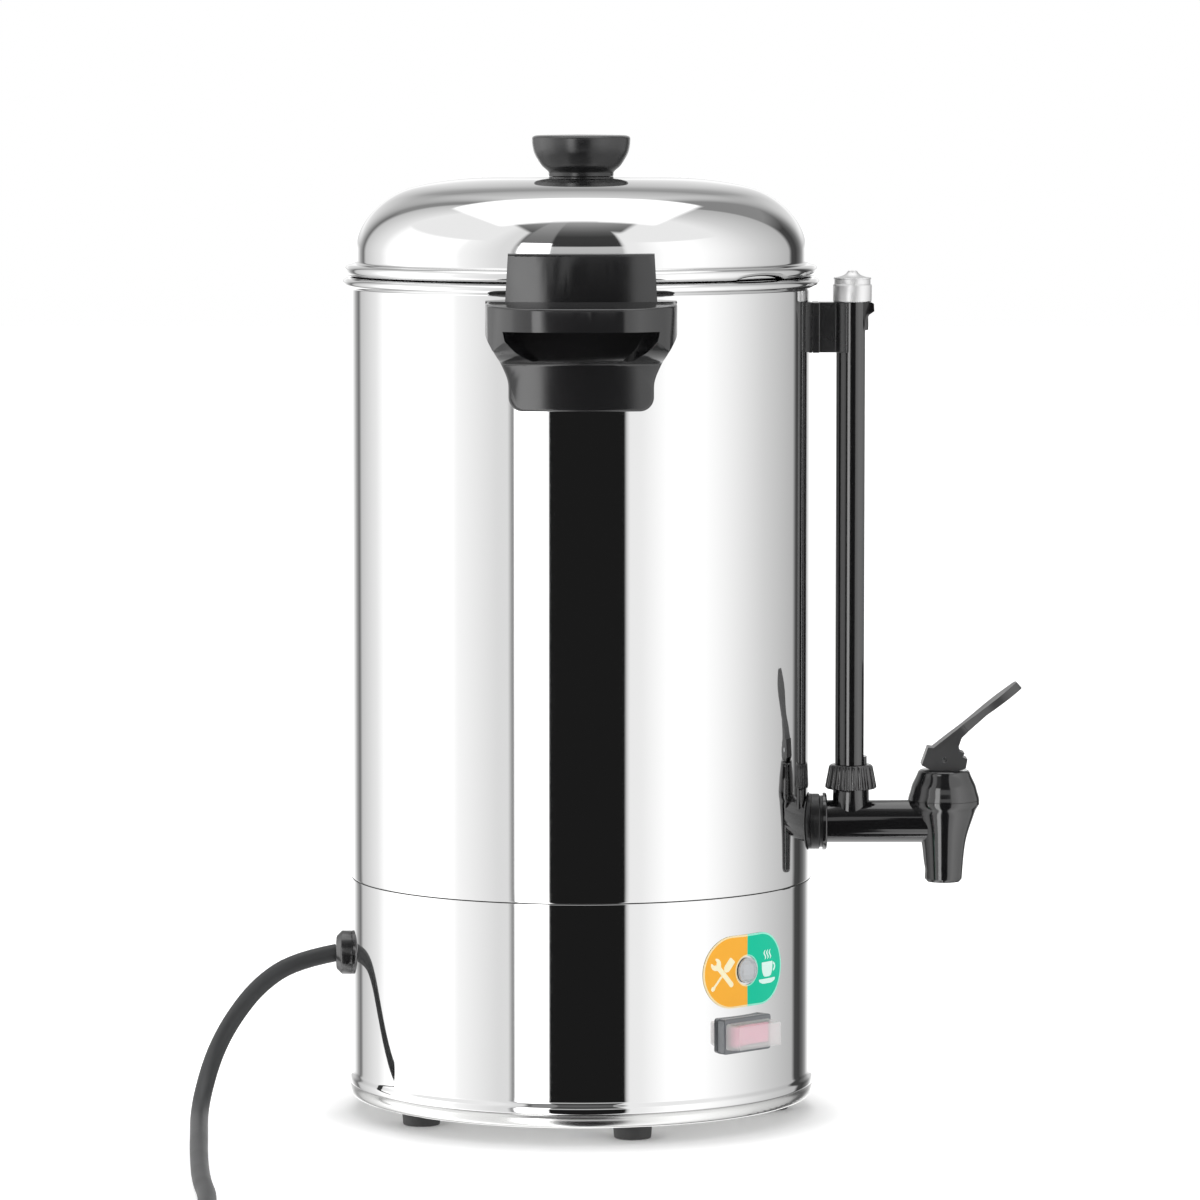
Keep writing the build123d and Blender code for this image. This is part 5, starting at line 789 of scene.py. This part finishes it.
# A spanner and a screwdriver, crossed.
CROSSING = 42  # degrees, each from upright
jaw = arc_points((0, 0), 2.9, 128, 412, 22)
spanner = np.vstack(
    [
        jaw[:9],
        [(-1.25, -3.0), (-1.25, -13.6)],
        arc_points((0, -13.6), 1.25, 180, 360, 9),
        [(1.25, -3.0)],
        jaw[13:],
        [(1.25, 1.9), (1.1, 0.5), (0.0, -0.3), (-1.1, 0.5), (-1.25, 1.9)],
    ]
)
spanner = turned_about(spanner + np.array([0, 6.4]), CROSSING)
grip_right = rounded([(0, 8.6), (1.9, 8.6), (1.9, 2.8), (0.8, 1.4), (0, 1.4)], 0.8)
grip_left = rounded([(0, 1.4), (-0.8, 1.4), (-1.9, 2.8), (-1.9, 8.6), (0, 8.6)], 0.8)
driver_grip = turned_about(np.vstack([grip_right, grip_left]), -CROSSING)
blade_left = [(-0.55, -1.4), (-0.55, -7.6), (-1.1, -8.8), (-0.6, -10.0)]
driver_blade = turned_about(blade_left + [(-x, y) for x, y in blade_left[::-1]], -CROSSING)
place_sign("label_sign_service", [spanner, driver_grip, driver_blade], (-14.9, -0.4), icon_orange)


# A steaming cup on its saucer.
def mirrored_outline(left, radii):
    """A closed outline that starts and ends above its middle: its left side, rounded, and the same
    side mirrored to the right."""
    corners = left + [(-x, y) for x, y in left[::-1]]
    return rounded(corners, radii + radii[::-1])[:-1]


def wisp(x):
    """A rising curl of steam: a narrow band whose middle line is a sine wave."""
    foot, top = 4.8, 9.4
    up = np.linspace(foot, top, 14)
    middle = x + 0.55 * np.sin((up - foot) * 1.5)
    half = 0.08 + 0.4 * np.sqrt(np.maximum(np.sin((up - foot) / (top - foot) * pi), 0.0))
    return np.vstack([np.stack([middle - half, up], 1), np.stack([middle + half, up], 1)[::-1]])


bowl_left = [(0, 3.6), (-4.3, 3.6), (-4.0, -0.6), (-2.6, -3.4)]
saucer_left = [(0, -4.3), (-6.4, -4.3), (-6.0, -5.6), (-3.4, -6.6)]
EAR_CENTRE = (4.2, 0.9)
ear_outside = arc_points(EAR_CENTRE, 2.3, 75, -75, 11)
ear_inside = arc_points(EAR_CENTRE, 1.3, -75, 75, 9)
cup = [
    mirrored_outline(bowl_left, [0, 0.6, 1.6, 1.2]),
    np.vstack([ear_outside, ear_inside]),
    mirrored_outline(saucer_left, [0, 0.5, 0.9, 1.0]),
]
steam = [wisp(-1.9), wisp(0.1), wisp(2.1)]
place_sign("label_sign_drink", cup + steam, (14.6, -1.0), icon_green)

# ---- Finishes of the remaining solids -----------------------------------------------------------
finishes = {
    bracket_steel: ["foot_screws", "base_studs", "hex_nuts", "thermostat_bridge", "wall_screws"],
    plate_aluminium: ["heater_plate"],
    element_steel: ["heating_element"],
    disc_phenolic: ["thermostat", "boil_dry_cutout"],
    block_nylon: ["terminal_block", "lamp_holder"],
    brass: ["earth_stud", "switch_tags"],
    brown_lead: ["lead_live", "lead_switched", "lead_link", "lead_element"],
    blue_lead: ["lead_neutral"],
    earth_lead: ["lead_earth"],
    cord_rubber: ["cord_tail"],
    tap_rubber: ["gauge_seal", "knob_washer"],
    seat_rubber: ["seat_cup"],
    stem_steel: ["tap_stem", "lever_pin", "knob_screw"],
    spring_steel: ["tap_spring"],
}
for material, nodes in finishes.items():
    for node in nodes:
        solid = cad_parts[node]
        for held in solid.material_slots:
            held.material = material
        if not solid.material_slots:
            solid.data.materials.append(material)

# ==== Studio =====================================================================================
floor_mesh = bpy.data.meshes.new("studio_floor")
floor_mesh.from_pydata([(-9, -9, 0), (9, -9, 0), (9, 9, 0), (-9, 9, 0)], [], [(0, 1, 2, 3)])
floor = bpy.data.objects.new("studio_floor", floor_mesh)
bpy.context.scene.collection.objects.link(floor)
floor.visible_glossy = False
WHITE = (1.0, 1.0, 1.0, 1.0)
PAINTED_SHADOW_EDGE, BOARD_EDGE, BOARD_LIFT = 0.102, 0.148, 0.5  # metres from the middle, where the painted shadow ring ends and where the board is fully lifted; brightness


def seen_straight(tree):
    """One where the camera looks, straight or through a clear piece."""
    rays = add(tree, "LightPath").outputs
    looks = {0: rays["Is Camera Ray"], 1: rays["Is Transmission Ray"]}
    return add(tree, "Math", looks, operation="MAXIMUM").outputs[0]


def white_board():
    """The floor's paint: lifted to white for the camera by a smooth step over the distance from the
    middle.
    Close to the urn the lift is left off, so the real shadow stays and the ring round the middle is
    also a painted shadow, darker whatever the light."""
    material, tree, shader, place = surface(
        "floor_white_board", Base_Color=linear("#F4F4F4"), Roughness=0.7, Emission_Color=WHITE
    )
    away = add(tree, "VectorMath", {0: place}, operation="LENGTH").outputs["Value"]
    step = {"Value": away, "From Min": PAINTED_SHADOW_EDGE, "From Max": BOARD_EDGE, "To Max": BOARD_LIFT}
    # The step keeps the floor unlifted near the urn: a painted shadow ring over the real shadow.
    reach = add(tree, "MapRange", step, interpolation_type="SMOOTHSTEP")
    shares = {0: seen_straight(tree), 1: reach.outputs[0]}
    lift = add(tree, "Math", shares, operation="MULTIPLY")
    tree.links.new(lift.outputs[0], shader.inputs["Emission Strength"])
    return material


floor_mesh.materials.append(white_board())

# The studio that the steel mirrors, as stops of a place and a brightness. The walls by degrees
# round the urn: soft boxes left and right, dark gaps between them and the wall behind.
WALLS = [(-180, 1.6), (-152, 0.56), (-146, 0.2), (-142, 0.8), (-123, 1.25), (-105, 2.2)]
WALLS += [(-76, 2.2), (-64, 1.48), (-42, 1.12), (-35.6, 1.12), (-34.9, 0.45), (-33.6, 0.45)]
WALLS += [(22, 1.3), (30, 1.33), (51, 1.8), (75, 1.45), (103, 1.0), (131, 0.68)]
WALLS += [(134.5, 0.09), (141, 0.07), (147, 0.2), (160, 0.9), (180, 1.6)]
# By degrees above the horizon: the wall behind, the dark front with its pale shelf, the bright
# strip that stands left of the camera, and how the walls even out higher up, where their brightest
# parts fade and their gaps close.
BEHIND = [(0, 1.6), (2, 0.8), (6, 1.2), (10, 0.93), (15, 0.82), (20, 0.72)]
BEHIND += [(27, 0.48), (33, 0.42), (40, 0.66), (51, 0.87), (58, 1.0)]
DARK_FRONT = [(7, 0.0165), (9, 0.72), (25, 0.78), (27, 0.06), (46, 0.07)]
DARK_FRONT += [(55, 0.16), (64, 0.31), (70, 0.45), (78, 0.6)]
BRIGHT_STRIP = [(0, 3.6), (32, 3.4), (33.5, 0.24), (46, 0.3), (60, 0.42), (75, 0.6)]
WALLS_FADE, GAPS_CLOSE = [(18, 4.0), (34, 1.3)], [(16, 0.0), (30, 0.36)]
# Each layer's edges: where it starts, is whole, is whole up to, and ends. The strip and the front
# by degrees round the urn, the hood and the soft box overhead by their places sideways and back,
# per metre of height.
STRIP_EDGES, FRONT_EDGES = (-33.8, -33.3, -16.9, -15.9), (-34.0, -33.6, 21.8, 22.8)
HOOD_SIDES, HOOD_ENDS = (-0.47, -0.42, 0.33, 0.38), (-0.75, -0.6, -0.3, -0.2)
BOX_SIDES, BOX_ENDS = (-0.60, -0.55, 0.48, 0.53), (-0.30, -0.20, 0.58, 0.64)
WALL_EDGES = (-166, -152, 152, 166)  # between these, the walls cover the wall behind
BRIGHTEST, OVERHEAD, AMBIENT = 4.0, 2.0, 0.78


def grey(value):
    """A grey of this linear brightness."""
    return (value, value, value, 1.0)


def ramp(tree, scale, stops, full=BRIGHTEST):
    """A grey ramp over a scale, which is a value with its two limits: the stops stand in its own
    unit, and their brightness becomes a share of the full one."""
    value, low, high = scale
    share = add(tree, "MapRange", {"Value": value, "From Min": low, "From Max": high})
    places = [((at - low) / (high - low), bright / full) for at, bright in stops]
    return add(tree, "ValToRGB", {"Fac": share.outputs[0]}, places).outputs[0]


def within(tree, scale, edges):
    """One between the two inner edges of a layer and none beyond the outer ones."""
    return ramp(tree, scale, list(zip(edges, (0.0, 1.0, 1.0, 0.0))), full=1.0)


def scales(tree):
    """The direction in which a ray leaves the urn, as degrees round it and up from the horizon,
    and as places sideways and back on a ceiling one metre up; each with its two limits."""
    parts = add(tree, "SeparateXYZ", {0: add(tree, "TexCoord").outputs["Generated"]}).outputs
    towards = add(tree, "Math", {0: parts["Y"], 1: -1.0}, operation="MULTIPLY").outputs[0]
    turn = add(tree, "Math", {0: parts["X"], 1: towards}, operation="ARCTAN2").outputs[0]
    rise = add(tree, "Math", {0: parts["Z"]}, operation="ARCSINE").outputs[0]
    above = add(tree, "Math", {0: parts["Z"], 1: 0.05}, operation="MAXIMUM").outputs[0]
    around, up = [add(tree, "Math", {0: v}, operation="DEGREES").outputs[0] for v in (turn, rise)]
    sideways, back = [
        add(tree, "Math", {0: parts[axis], 1: above}, operation="DIVIDE").outputs[0]
        for axis in ("X", "Y")
    ]
    return (around, -180.0, 180.0), (up, 0.0, 90.0), (sideways, -1.0, 1.0), (back, -1.0, 1.0)


def mirrored_studio(tree):
    """What the steel mirrors: the walls, and over them the wall behind, the front with its strip
    and hood, and the soft box overhead, each laid on by its own share."""
    around, up, sideways, back = scales(tree)
    seen = ramp(tree, around, WALLS)
    for stops, blend in ((WALLS_FADE, "DARKEN"), (GAPS_CLOSE, "LIGHTEN")):
        evened = {0: 1.0, 6: seen, 7: ramp(tree, up, stops)}
        seen = add(tree, "Mix", evened, data_type="RGBA", blend_type=blend).outputs[2]
    hood, box = [
        add(
            tree,
            "Math",
            {0: within(tree, sideways, sides), 1: within(tree, back, ends)},
            operation="MULTIPLY",
        ).outputs[0]
        for sides, ends in ((HOOD_SIDES, HOOD_ENDS), (BOX_SIDES, BOX_ENDS))
    ]
    strip = within(tree, around, STRIP_EDGES)
    parts = {0: strip, 6: ramp(tree, up, DARK_FRONT), 7: ramp(tree, up, BRIGHT_STRIP)}
    front = add(tree, "Mix", parts, data_type="RGBA").outputs[2]
    covers = {0: within(tree, around, FRONT_EDGES), 1: hood}
    in_front = add(tree, "Math", covers, operation="MAXIMUM").outputs[0]
    is_behind = ramp(tree, around, list(zip(WALL_EDGES, (1.0, 0.0, 0.0, 1.0))), full=1.0)
    layers = [(is_behind, ramp(tree, up, BEHIND)), (in_front, front)]
    for share, layer in layers + [(box, grey(OVERHEAD / BRIGHTEST))]:
        seen = add(tree, "Mix", {0: share, 6: seen, 7: layer}, data_type="RGBA").outputs[2]
    return add(tree, "VectorMath", {0: seen, 3: BRIGHTEST}, operation="SCALE").outputs[0]


def fill_world(tree):
    """Lights the urn evenly, shows the camera a white ground and the steel its studio."""
    glossy = add(tree, "LightPath").outputs["Is Glossy Ray"]
    colour = grey(AMBIENT)
    for share, layer in ((seen_straight(tree), WHITE), (glossy, mirrored_studio(tree))):
        colour = add(tree, "Mix", {0: share, 6: colour, 7: layer}, data_type="RGBA").outputs[2]
    sky = add(tree, "Background", {"Color": colour, "Strength": 1.0})
    add(tree, "OutputWorld", {"Surface": sky.outputs[0]})


world = bpy.data.worlds.new("studio")
bpy.context.scene.world = world
world.use_nodes = True
world.node_tree.nodes.clear()
fill_world(world.node_tree)

URN_MIDDLE = Vector((0.0, 0.0, 0.22))


def soft_lamp(name, place, size, energy):
    """An area lamp that points at the middle of the urn and isn't mirrored in it."""
    lamp = bpy.data.objects.new(name, bpy.data.lights.new(name, "AREA"))
    bpy.context.scene.collection.objects.link(lamp)
    lamp.data.size = size
    lamp.data.energy = energy
    lamp.location = place
    lamp.rotation_euler = (URN_MIDDLE - Vector(place)).to_track_quat("-Z", "Y").to_euler()
    lamp.visible_glossy = False


soft_lamp("lamp_above", (0.0, 0.9, 2.2), 1.2, 16.0)
soft_lamp("lamp_left", (-1.8, -1.7, 0.7), 1.2, 9.0)
soft_lamp("lamp_right", (2.0, -1.6, 0.7), 1.2, 9.0)

bpy.context.scene.view_settings.view_transform = "Standard"

bpy.context.view_layer.update()
